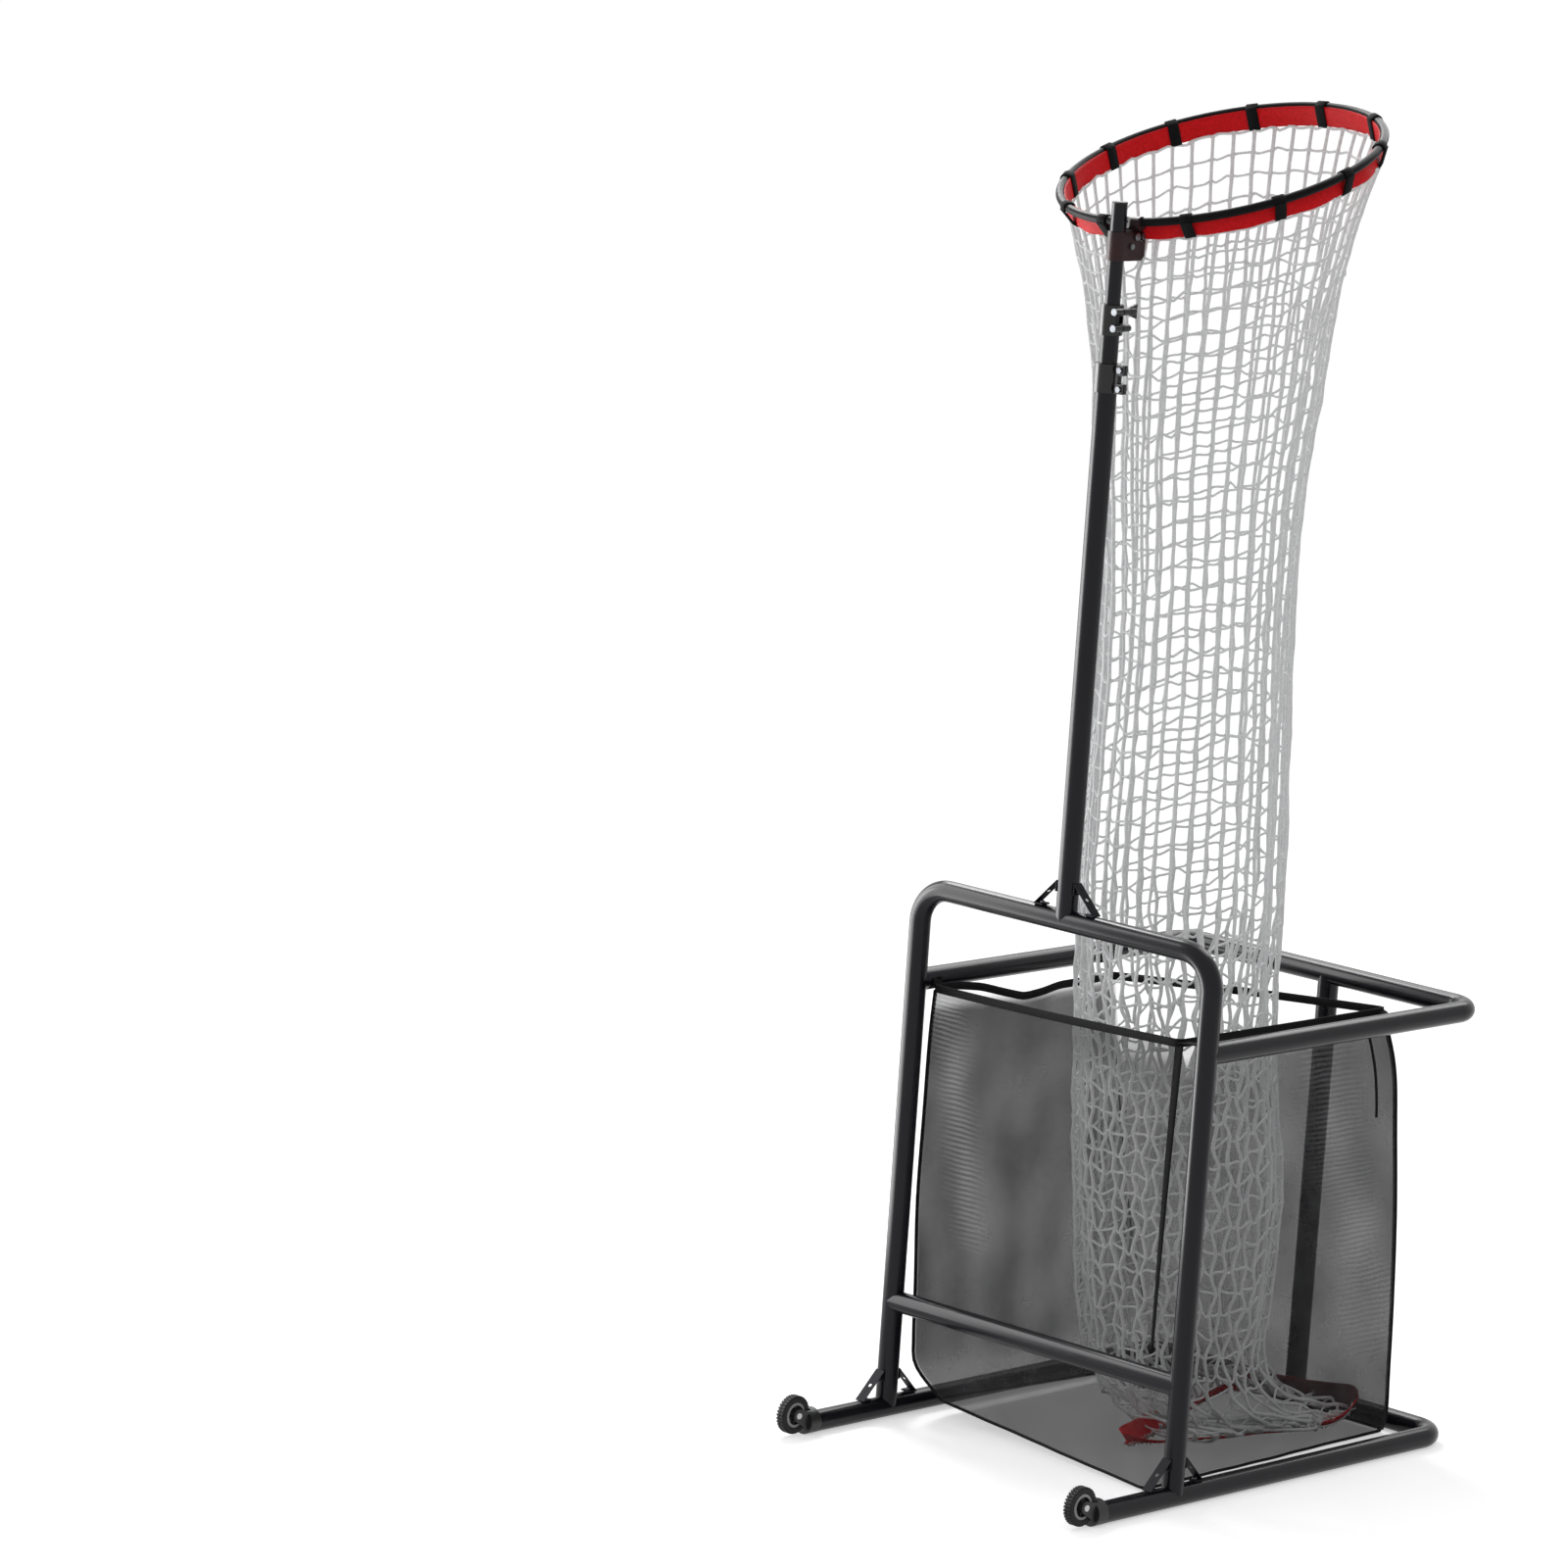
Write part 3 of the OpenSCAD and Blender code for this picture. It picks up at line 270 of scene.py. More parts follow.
@dataclass(frozen=True)
class Finish:
    """What every finish has: a name, a colour and how it takes the light."""

    name: str
    colour: str
    roughness: float = 0.5
    specular: float = 0.5
    metallic: float = 0.0

    def build(self) -> bpy.types.Material:
        """Returns this finish's material, made once and then shared.

        Returns:
            The material.
        """
        made = bpy.data.materials.get(self.name)
        if made is None:
            made = bpy.data.materials.new(self.name)
            made.use_nodes = True
            made.diffuse_color = linear(self.colour)
            tree = made.node_tree
            shader = tree.nodes["Principled BSDF"]
            shader.inputs["Base Color"].default_value = linear(self.colour)
            shader.inputs["Roughness"].default_value = self.roughness
            shader.inputs["Specular IOR Level"].default_value = self.specular
            shader.inputs["Metallic"].default_value = self.metallic
            self.detail(tree, shader)
        return made

    def detail(self, tree: bpy.types.NodeTree, shader: bpy.types.Node) -> None:
        """Adds the surface detail of this finish to its shader."""
        raise NotImplementedError

    def where(self, tree: bpy.types.NodeTree) -> bpy.types.NodeSocket:
        """Returns the Object coordinates."""
        return add_node(tree, "ShaderNodeTexCoord").outputs["Object"]

    def mottle(
        self, tree: bpy.types.NodeTree, shader: bpy.types.Node, size_mm: float, dark: str, light: str
    ) -> bpy.types.NodeSocket:
        """Varies the colour softly between two shades.

        Args:
            tree: The material's tree.
            shader: The shader whose base colour it drives.
            size_mm: Width of the patches in millimetres.
            dark: The darker shade.
            light: The lighter shade.

        Returns:
            The noise value behind it, for a roughness to follow.
        """
        patches = add_node(
            tree,
            "ShaderNodeTexNoise",
            {"Vector": self.where(tree), "Scale": 1000 / size_mm, "Detail": 4.0, "Roughness": 0.6},
        )
        ramp = add_node(tree, "ShaderNodeValToRGB", {"Fac": patches.outputs["Fac"]})
        ramp.color_ramp.elements[0].position = 0.32
        ramp.color_ramp.elements[1].position = 0.68
        ramp.color_ramp.elements[0].color = linear(dark)
        ramp.color_ramp.elements[1].color = linear(light)
        tree.links.new(ramp.outputs["Color"], shader.inputs["Base Color"])
        return patches.outputs["Fac"]

    def spread(
        self, tree: bpy.types.NodeTree, shader: bpy.types.Node, fac: bpy.types.NodeSocket, width: float
    ) -> None:
        """Lets the roughness wander by a width about its middle value.

        Args:
            tree: The material's tree.
            shader: Its shader.
            fac: The value that it follows.
            width: The whole width of its range.
        """
        add = add_node(
            tree,
            "ShaderNodeMapRange",
            {"Value": fac, "To Min": self.roughness - width / 2, "To Max": self.roughness + width / 2},
        )
        tree.links.new(add.outputs["Result"], shader.inputs["Roughness"])

    def bump(
        self,
        tree: bpy.types.NodeTree,
        shader: bpy.types.Node,
        height: bpy.types.NodeSocket,
        depth_mm: float,
        strength: float = 1.0,
    ) -> None:
        """Raises the surface by a height pattern of a real depth.

        Args:
            tree: The material's tree.
            shader: Its shader.
            height: The pattern, from 0 to 1.
            depth_mm: Its depth in millimetres.
            strength: How much of it is used, from 0 to 1.
        """
        made = add_node(
            tree,
            "ShaderNodeBump",
            {"Height": height, "Distance": depth_mm / 1000, "Strength": strength},
        )
        tree.links.new(made.outputs["Normal"], shader.inputs["Normal"])

    def waves(
        self,
        tree: bpy.types.NodeTree,
        vector: bpy.types.NodeSocket,
        axis: str,
        apart_mm: float,
        shape: dict[str, float] | None = None,
    ) -> bpy.types.NodeSocket:
        """Draws even bands across one axis.

        Args:
            tree: The material's tree.
            vector: The coordinates they read, in metres.
            axis: The axis they repeat along.
            apart_mm: The distance from band to band in millimetres.
            shape: Further values of the wave texture.

        Returns:
            The bands' value.
        """
        inputs = {"Vector": vector, "Scale": 100 * math.pi / apart_mm, **(shape or {})}
        return add_node(tree, "ShaderNodeTexWave", inputs, bands_direction=axis).outputs["Fac"]


@dataclass(frozen=True)
class GrainedFinish(Finish):
    """A hard or rubbery skin: soft patches of shade and gloss, and a fine raised grain."""

    dark: str = "#161617"
    light: str = "#1d1d1f"
    patch_mm: float = 24.0
    wander: float = 0.08
    grain_per_m: float = 1000 / 0.9
    grain_detail: float = 3.0
    grain_edge: float = 0.5
    depth_mm: float = 0.05
    strength: float = 0.5

    def detail(self, tree: bpy.types.NodeTree, shader: bpy.types.Node) -> None:
        """Adds the patches, the roughness that follows them and the grain.

        Args:
            tree: The material's tree.
            shader: Its shader.
        """
        fac = self.mottle(tree, shader, self.patch_mm, self.dark, self.light)
        self.spread(tree, shader, fac, self.wander)
        grain = add_node(
            tree,
            "ShaderNodeTexNoise",
            {
                "Vector": self.where(tree),
                "Scale": self.grain_per_m,
                "Detail": self.grain_detail,
                "Roughness": self.grain_edge,
            },
        )
        self.bump(tree, shader, grain.outputs["Fac"], self.depth_mm, self.strength)


@dataclass(frozen=True)
class PowderCoat(GrainedFinish):
    """Polyester powder coat on drawn steel tube: a satin skin with a fine orange peel."""

    dark: str = "#0a0a10"
    light: str = "#0f0f16"
    patch_mm: float = 70.0
    wander: float = 0.10
    grain_per_m: float = 1000 / 2.2
    grain_detail: float = 2.0


@dataclass(frozen=True)
class ZincPlate(GrainedFinish):
    """Bright zinc on turned steel: a clear metal with fine lathe lines and dull spots."""

    dark: str = "#66686c"
    light: str = "#808286"
    patch_mm: float = 9.0
    wander: float = 0.16
    grain_per_m: float = 1400.0
    grain_detail: float = 1.0
    depth_mm: float = 0.03
    strength: float = 0.4


@dataclass(frozen=True)
class MouldedPlastic(GrainedFinish):
    """Injection-moulded nylon or polypropylene: a smooth skin with a faint spark grain."""


@dataclass(frozen=True)
class SolidRubber(GrainedFinish):
    """Moulded solid rubber: a dull black with a dusty bloom and a rough skin."""

    dark: str = "#131313"
    light: str = "#232322"
    patch_mm: float = 14.0
    wander: float = 0.12
    grain_per_m: float = 1600.0
    grain_detail: float = 4.0
    grain_edge: float = 0.7
    depth_mm: float = 0.08
    strength: float = 0.6


@dataclass(frozen=True)
class Webbing(Finish):
    """Woven polypropylene webbing: narrow ribs along the tape, crossed by a fine weft.

    The ribs read the piece's own UV map, which runs in metres across and along the tape.
    """

    rib_mm: float = 4.0
    weft_share: float = 1.4
    depth_mm: float = 0.25
    dark: str = "#0f0f10"
    light: str = "#1c1c1e"

    def detail(self, tree: bpy.types.NodeTree, shader: bpy.types.Node) -> None:
        """Adds the ribs, the weft and a worn nap.

        Args:
            tree: The material's tree.
            shader: Its shader.
        """
        self.mottle(tree, shader, 6, self.dark, self.light)
        uv = add_node(tree, "ShaderNodeTexCoord").outputs["UV"]
        ribs = self.waves(tree, uv, "X", self.rib_mm, {"Distortion": 0.4})
        weft = self.waves(tree, uv, "Y", self.rib_mm / self.weft_share, {"Distortion": 0.6})
        self.bump(tree, shader, maths(tree, "MULTIPLY", ribs, weft), self.depth_mm, 0.8)


@dataclass(frozen=True)
class WovenBand(Webbing):
    """Coated woven polyester: a plain weave whose threads are drawn coarse so that they show."""

    dark: str = "#c00c13"
    light: str = "#d8161d"
    rib_mm: float = 3.6
    depth_mm: float = 0.16


@dataclass(frozen=True)
class KnittedCord(Finish):
    """Knitted polyester cord: a pale, dull thread with short fibres standing off it."""

    dark: str = "#dadbdc"
    light: str = "#ebecec"

    def detail(self, tree: bpy.types.NodeTree, shader: bpy.types.Node) -> None:
        """Adds the stitches' small shadows and the fibre bump.

        Args:
            tree: The material's tree.
            shader: Its shader.
        """
        self.mottle(tree, shader, 5, self.dark, self.light)
        fibre = add_node(
            tree,
            "ShaderNodeTexVoronoi",
            {"Vector": self.where(tree), "Scale": 420.0},
        )
        self.bump(tree, shader, fibre.outputs["Distance"], 0.4, 0.5)


@dataclass(frozen=True)
class MeshCloth(Finish):
    """Fine black polyester mesh: light passes between its threads.

    The real threads are under a millimetre apart, too fine to show, so the weave is drawn
    at several millimetres and kept faint. Where two threads' spacings beat against each
    other, fine wavy bands run over the cloth, drawn 9 mm apart where the mesh's attribute
    "ripple" says. How much the cloth hides is its attribute "cover".
    """

    thread_mm: float = 8.0
    thread_show: float = 0.02
    band_mm: float = 9.0
    beat: str = "#b6b6b8"

    def detail(self, tree: bpy.types.NodeTree, shader: bpy.types.Node) -> None:
        """Adds the threads and the wavy bands to the cover and a soft drift to the shade.

        Args:
            tree: The material's tree.
            shader: Its shader.
        """
        self.mottle(tree, shader, 60, "#252527", "#434345")
        uv = add_node(tree, "ShaderNodeTexCoord").outputs["UV"]
        drift = add_node(tree, "ShaderNodeTexNoise", {"Vector": uv, "Scale": 5.0, "Detail": 2.0})
        moved = add_node(
            tree,
            "ShaderNodeMixRGB",
            {"Fac": 0.02, "Color1": uv, "Color2": drift.outputs["Color"]},
        )
        across, along = (self.waves(tree, moved.outputs["Color"], axis, self.thread_mm) for axis in "XY")
        threads = maths(tree, "MAXIMUM", across, along)
        wavy = {"Distortion": 2.6, "Detail": 1.0, "Detail Scale": 0.5}
        bands = self.waves(tree, uv, "Y", self.band_mm, wavy)
        patch, cover = (
            add_node(tree, "ShaderNodeAttribute", attribute_name=name).outputs["Fac"]
            for name in ("ripple", "cover")
        )
        shade = add_node(
            tree,
            "ShaderNodeMixRGB",
            {
                "Fac": maths(tree, "MULTIPLY", bands, patch),
                "Color1": shader.inputs["Base Color"].links[0].from_socket,
                "Color2": linear(self.beat),
            },
        )
        tree.links.new(shade.outputs["Color"], shader.inputs["Base Color"])
        kept = maths(tree, "MULTIPLY_ADD", threads, -self.thread_show, 1.0)
        tree.links.new(maths(tree, "MULTIPLY", cover, kept), shader.inputs["Alpha"])
        self.bump(tree, shader, threads, 0.3, 0.5)


FINISHES: dict[str, Finish] = {
    "frame_tube": PowderCoat("graphite_powder_coat", "#0e0e14", 0.23, 0.22),
    "gusset_plate": PowderCoat("gusset_powder_coat", "#111117", 0.5, 0.07),
    "hoop_tube": PowderCoat(
        "black_powder_coat", "#0c0c0d", 0.42, 0.07, dark="#080809", light="#0e0e10"
    ),
    # black powder coat; its maroon tint is a painted reflection of the red band beside the bracket
    "bracket_coat": PowderCoat(
        "black_coat_painted_red_reflection", "#24080b", 0.36, 0.25, dark="#1c0609", light="#2c0a0d"
    ),
    "zinc_steel": ZincPlate("bright_zinc_plate", "#76787c", 0.34, 0.5, 1.0),
    "dark_screw": PowderCoat("black_oxide_steel", "#1c1c1d", 0.4, 0.4, dark="#161617", light="#222224"),
    "clamp_plastic": MouldedPlastic(
        "gloss_moulded_nylon", "#0e0e10", 0.22, 0.4, dark="#0a0a0b", light="#121214"
    ),
    "bush_plastic": MouldedPlastic("dull_moulded_nylon", "#19191b", 0.5, 0.35),
    # black nylon; its red-brown tint is a painted reflection of the red band beside the lug
    "lug_plastic": MouldedPlastic(
        "lug_moulded_nylon", "#1f1213", 0.4, 0.4, dark="#1a0e10", light="#261618"
    ),
    "red_band": WovenBand("red_coated_weave", "#cc1219", 0.6, 0.12),
    "strap_webbing": Webbing(
        "black_hook_and_loop_tape", "#0d0d0e", 0.85, 0.12, dark="#09090a", light="#131315"
    ),
    "bag_edging": Webbing("black_binding_tape", "#0d0d0e", 0.8, 0.12, dark="#08080a", light="#121214"),
    "net_cord": KnittedCord("pale_knitted_cord", "#d4d6d6", 0.85, 0.15),
    "wheel_plastic": MouldedPlastic("wheel_moulded_plastic", "#1a1a1c", 0.42, 0.4),
    "lock_ring_plastic": MouldedPlastic(
        "grey_moulded_plastic", "#5d5d60", 0.45, 0.4, dark="#56565a", light="#68686c"
    ),
    "cap_plastic": MouldedPlastic(
        "white_moulded_plastic", "#e6e6e4", 0.4, 0.4, dark="#dededc", light="#ececea"
    ),
    "tyre_rubber": SolidRubber("moulded_tyre_rubber", "#1a1a1a", 0.7, 0.3),
    "hub_plastic": MouldedPlastic(
        "hub_moulded_plastic", "#2a2a2c", 0.45, 0.4, dark="#242426", light="#303033"
    ),
    "bag_mesh": MeshCloth("fine_black_mesh", "#2c2c2d", 0.75, 0.2),
}
RIM_RING = MouldedPlastic(
    "light_grey_moulded_plastic", "#8a8a8a", 0.5, 0.35, dark="#808080", light="#949494"
)


class Body(Enum):
    """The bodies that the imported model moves."""

    STAND = "stand"
    MIDDLE_MAST = "middle_mast"
    UPPER_MAST = "upper_mast"
    HOOP = "hoop"
    LEFT_WHEEL = "left_wheel"
    RIGHT_WHEEL = "right_wheel"


# ---- Making meshes --------------------------------------------------------------------------


def deselect() -> None:
    """Leaves nothing selected, so that an operator acts only on the next piece."""
    if bpy.context.mode != "OBJECT":
        bpy.ops.object.mode_set(mode="OBJECT")
    bpy.ops.object.select_all(action="DESELECT")
    bpy.context.view_layer.objects.active = None


def select_only(*objects: bpy.types.Object) -> bpy.types.Object:
    """Selects these objects alone and makes the first one active.

    Args:
        *objects: What to select.

    Returns:
        The first object.
    """
    deselect()
    for item in objects:
        item.select_set(True)
    bpy.context.view_layer.objects.active = objects[0]
    return objects[0]


@contextmanager
def editing(piece: bpy.types.Object) -> Iterator[None]:
    """Opens one piece in edit mode with all of it selected, and closes it again.

    Args:
        piece: The mesh to edit.

    Yields:
        Nothing, while the piece is open.
    """
    select_only(piece)
    bpy.ops.object.mode_set(mode="EDIT")
    bpy.ops.mesh.select_all(action="SELECT")
    yield
    bpy.ops.object.mode_set(mode="OBJECT")
    deselect()


def mesh_object(
    name: str, points: np.ndarray, faces: list[tuple[int, ...]], uv: np.ndarray | None = None
) -> bpy.types.Object:
    """Makes an object from row-frame points and faces, smooth shaded.

    Args:
        name: The piece's name.
        points: Points in metres.
        faces: Corner numbers of each face.
        uv: One UV pair for each face corner, in the order of the faces.

    Returns:
        The new object.
    """
    mesh = bpy.data.meshes.new(name)
    mesh.from_pydata([tuple(p) for p in points], [], faces)
    if uv is not None:
        layer = mesh.uv_layers.new(name="UVMap")
        layer.data.foreach_set("uv", np.asarray(uv, np.float32).ravel())
    mesh.polygons.foreach_set("use_smooth", [True] * len(mesh.polygons))
    mesh.validate()
    made = bpy.data.objects.new(name, mesh)
    bpy.context.scene.collection.objects.link(made)
    return made


def grid_faces(
    along: np.ndarray, across: np.ndarray, closed: bool = False
) -> tuple[list[tuple[int, ...]], np.ndarray]:
    """Returns the faces of a strip whose points form a grid, and their UV pairs.

    Args:
        along: Places along the strip in metres, one more than its lines when it is closed.
        across: Places across the strip in metres.
        closed: Whether the strip's last line joins its first.

    Returns:
        Each face's corner numbers, and a pair across and along the strip for each corner.
    """
    lines, wide = len(along) - closed, len(across)
    faces, uv = [], []
    for a in range(len(along) - 1):
        b = (a + 1) % lines
        for i in range(wide - 1):
            faces.append((a * wide + i, b * wide + i, b * wide + i + 1, a * wide + i + 1))
            uv += [(across[i], along[a]), (across[i], along[a + 1])]
            uv += [(across[i + 1], along[a + 1]), (across[i + 1], along[a])]
    return faces, np.array(uv)


TAPE_EDGE = np.array(
    [
        (-0.5, -0.25), (-0.47, -0.5), (0.47, -0.5), (0.5, -0.25),
        (0.5, 0.25), (0.47, 0.5), (-0.47, 0.5), (-0.5, 0.25),
    ]
)  # fmt: skip


def tape(
    name: str,
    path: np.ndarray,
    across: object,
    width: object,
    thick: float,
    closed: bool = False,
) -> bpy.types.Object:
    """Makes a flat tape with softened edges along a path.

    Args:
        name: The piece's name.
        path: Points of its middle line, in millimetres.
        across: The direction of its width, one for all points or one for each.
        width: Its width in millimetres, one number or one per point.
        thick: Its thickness in millimetres.
        closed: Whether it joins its own start.

    Returns:
        The tape, with a UV map in metres across and along it.
    """
    n = len(path)
    along = heading(path) if closed else unit(np.gradient(path, axis=0))
    across = np.broadcast_to(np.asarray(across, float), path.shape)
    across = unit(across - (across * along).sum(1, keepdims=True) * along)
    off = unit(np.cross(along, across))
    widths = np.broadcast_to(width, (n,))[:, None, None]
    ring = (
        path[:, None, :]
        + TAPE_EDGE[None, :, :1] * widths * across[:, None, :]
        + TAPE_EDGE[None, :, 1:] * thick * off[:, None, :]
    )
    k = len(TAPE_EDGE)
    run = lengths(path) / 1000
    faces, uv = [], []
    side = TAPE_EDGE[:, 0] * float(np.max(width)) / 1000
    for a in range(n if closed else n - 1):
        b = (a + 1) % n
        end = run[b] if b else run[-1] + np.linalg.norm(path[0] - path[-1]) / 1000
        for i in range(k):
            j = (i + 1) % k
            faces.append((a * k + i, a * k + j, b * k + j, b * k + i))
            uv += [(side[i], run[a]), (side[j], run[a]), (side[j], end), (side[i], end)]
    if not closed:
        faces.append(tuple(range(k - 1, -1, -1)))
        faces.append(tuple((n - 1) * k + i for i in range(k)))
        uv += [(side[i], run[0]) for i in range(k - 1, -1, -1)] + [(side[i], run[-1]) for i in range(k)]
    made = mesh_object(name, row(ring.reshape(-1, 3)), faces, np.array(uv))
    with editing(made):
        bpy.ops.mesh.normals_make_consistent(inside=False)
    return made


def harden(made: bpy.types.Object, thick_mm: float) -> bpy.types.Object:
    """Gives a sheet its thickness, half of it on each side.

    Args:
        made: The sheet.
        thick_mm: Its thickness in millimetres.

    Returns:
        The same sheet.
    """
    select_only(made)
    wall = made.modifiers.new("wall", "SOLIDIFY")
    wall.thickness, wall.offset = thick_mm / 1000, 0
    bpy.ops.object.modifier_apply(modifier=wall.name)
    deselect()
    return made


@dataclass
class Run:
    """One cord of a net: its points in millimetres and its radius at each of them."""

    points: np.ndarray
    radius: np.ndarray
    closed: bool = False


def cords(name: str, runs: list[Run], sides: int = 1) -> bpy.types.Object:
    """Makes one mesh of many round cords.

    Args:
        name: The piece's name.
        runs: The cords.
        sides: Blender's bevel resolution, where 1 gives six sides.

    Returns:
        The mesh object.
    """
    data = bpy.data.curves.new(name, "CURVE")
    data.dimensions = "3D"
    data.bevel_depth = 1.0
    data.bevel_resolution = sides
    data.use_fill_caps = True
    for item in runs:
        line = data.splines.new("POLY")
        line.points.add(len(item.points) - 1)
        flat = np.concatenate([row(item.points), np.ones((len(item.points), 1))], axis=1)
        line.points.foreach_set("co", flat.astype(np.float32).ravel())
        line.points.foreach_set("radius", (item.radius / 1000).astype(np.float32))
        line.use_cyclic_u = item.closed
    made = bpy.data.objects.new(name, data)
    bpy.context.scene.collection.objects.link(made)
    select_only(made)
    bpy.ops.object.convert(target="MESH")
    made = bpy.context.view_layer.objects.active
    bpy.ops.object.shade_smooth()
    deselect()
    return made


def join(name: str, parts: list[bpy.types.Object]) -> bpy.types.Object:
    """Joins parts into one named piece.

    Args:
        name: The piece's name.
        parts: The meshes to join.

    Returns:
        The joined object.
    """
    whole = select_only(*parts)
    if len(parts) > 1:
        bpy.ops.object.join()
    whole.name = whole.data.name = name
    deselect()
    return whole


def lathe(
    name: str, middle: tuple[float, float, float], profile: list[tuple[float, float]], steps: int = 72
) -> bpy.types.Object:
    """Turns a closed profile about an axle along X, by extruding and resizing one circle.

    Args:
        name: The piece's name.
        middle: The axle's middle, in millimetres from the leg plane.
        profile: Pairs of distance along the axle and radius, in millimetres.
        steps: Corners round the circle.

    Returns:
        The turned piece.
    """
    deselect()
    centre = Vector(row(middle))
    first_x, first_r = profile[0]
    bpy.ops.mesh.primitive_circle_add(
        vertices=steps,
        radius=first_r / 1000,
        location=centre + Vector((first_x / 1000, 0, 0)),
        rotation=(0, math.pi / 2, 0),
    )
    made = bpy.context.active_object
    bpy.ops.object.transform_apply(location=True, rotation=True, scale=True)
    with editing(made):
        for (x0, r0), (x1, r1) in zip(profile, profile[1:] + profile[:1], strict=True):
            bpy.ops.mesh.extrude_region_move(
                TRANSFORM_OT_translate={"value": ((x1 - x0) / 1000, 0, 0), "orient_type": "GLOBAL"}
            )
            bpy.ops.transform.resize(
                value=(1, r1 / r0, r1 / r0), center_override=centre + Vector((x1 / 1000, 0, 0))
            )
        bpy.ops.mesh.select_all(action="SELECT")
        bpy.ops.mesh.remove_doubles(threshold=1e-6)
        bpy.ops.mesh.normals_make_consistent(inside=False)
    made.name = made.data.name = name
    select_only(made)
    bpy.ops.object.shade_smooth_by_angle(angle=SHARP_ANGLE)
    deselect()
    return made


def block(
    name: str, middle: Vector, size: tuple[float, float, float], bevel_mm: float
) -> bpy.types.Object:
    """Makes one block with bevelled edges.

    Args:
        name: The piece's name.
        middle: Its middle, in metres.
        size: Its size in millimetres.
        bevel_mm: Width of the bevel in millimetres.

    Returns:
        The block, with its place in its mesh.
    """
    deselect()
    bpy.ops.mesh.primitive_cube_add(size=1, location=middle, scale=[s / 1000 for s in size])
    made = bpy.context.active_object
    bpy.ops.object.transform_apply(location=True, rotation=True, scale=True)
    with editing(made):
        bpy.ops.mesh.bevel(offset=bevel_mm / 1000, segments=2, affect="EDGES")
    made.name = name
    return made


def turned_copies(
    first: bpy.types.Object, centre: Vector, count: int, offset: float = 0.0
) -> list[bpy.types.Object]:
    """Copies a part round an axle along X, each copy with its own mesh.

    Args:
        first: The part to copy, which is removed.
        centre: A point on the axle, in metres.
        count: How many copies stand round the axle.
        offset: Extra turn of the whole set, in radians.

    Returns:
        The copies.
    """
    made = []
    for k in range(count):
        copy = first.copy()
        copy.data = first.data.copy()
        bpy.context.scene.collection.objects.link(copy)
        with editing(copy):
            bpy.ops.transform.rotate(
                value=offset + 2 * math.pi * k / count, orient_axis="X", center_override=centre
            )
        made.append(copy)
    bpy.data.objects.remove(first)
    deselect()
    return made


def dress(piece: bpy.types.Object, slot: str, *replaced: str) -> bpy.types.Object:
    """Gives a piece the finish of a slot and hides the CAD nodes that it stands for.

    Args:
        piece: The finished mesh.
        slot: The record's material slot.
        *replaced: CAD nodes that it replaces.

    Returns:
        The piece.
    """
    piece.data.materials.clear()
    piece.data.materials.append(FINISHES[slot].build())
    if replaced:
        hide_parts(*replaced)
    LOG.info("%s: %d faces, %s", piece.name, len(piece.data.polygons), slot)
    return piece


# ---- Camera and light -----------------------------------------------------------------------


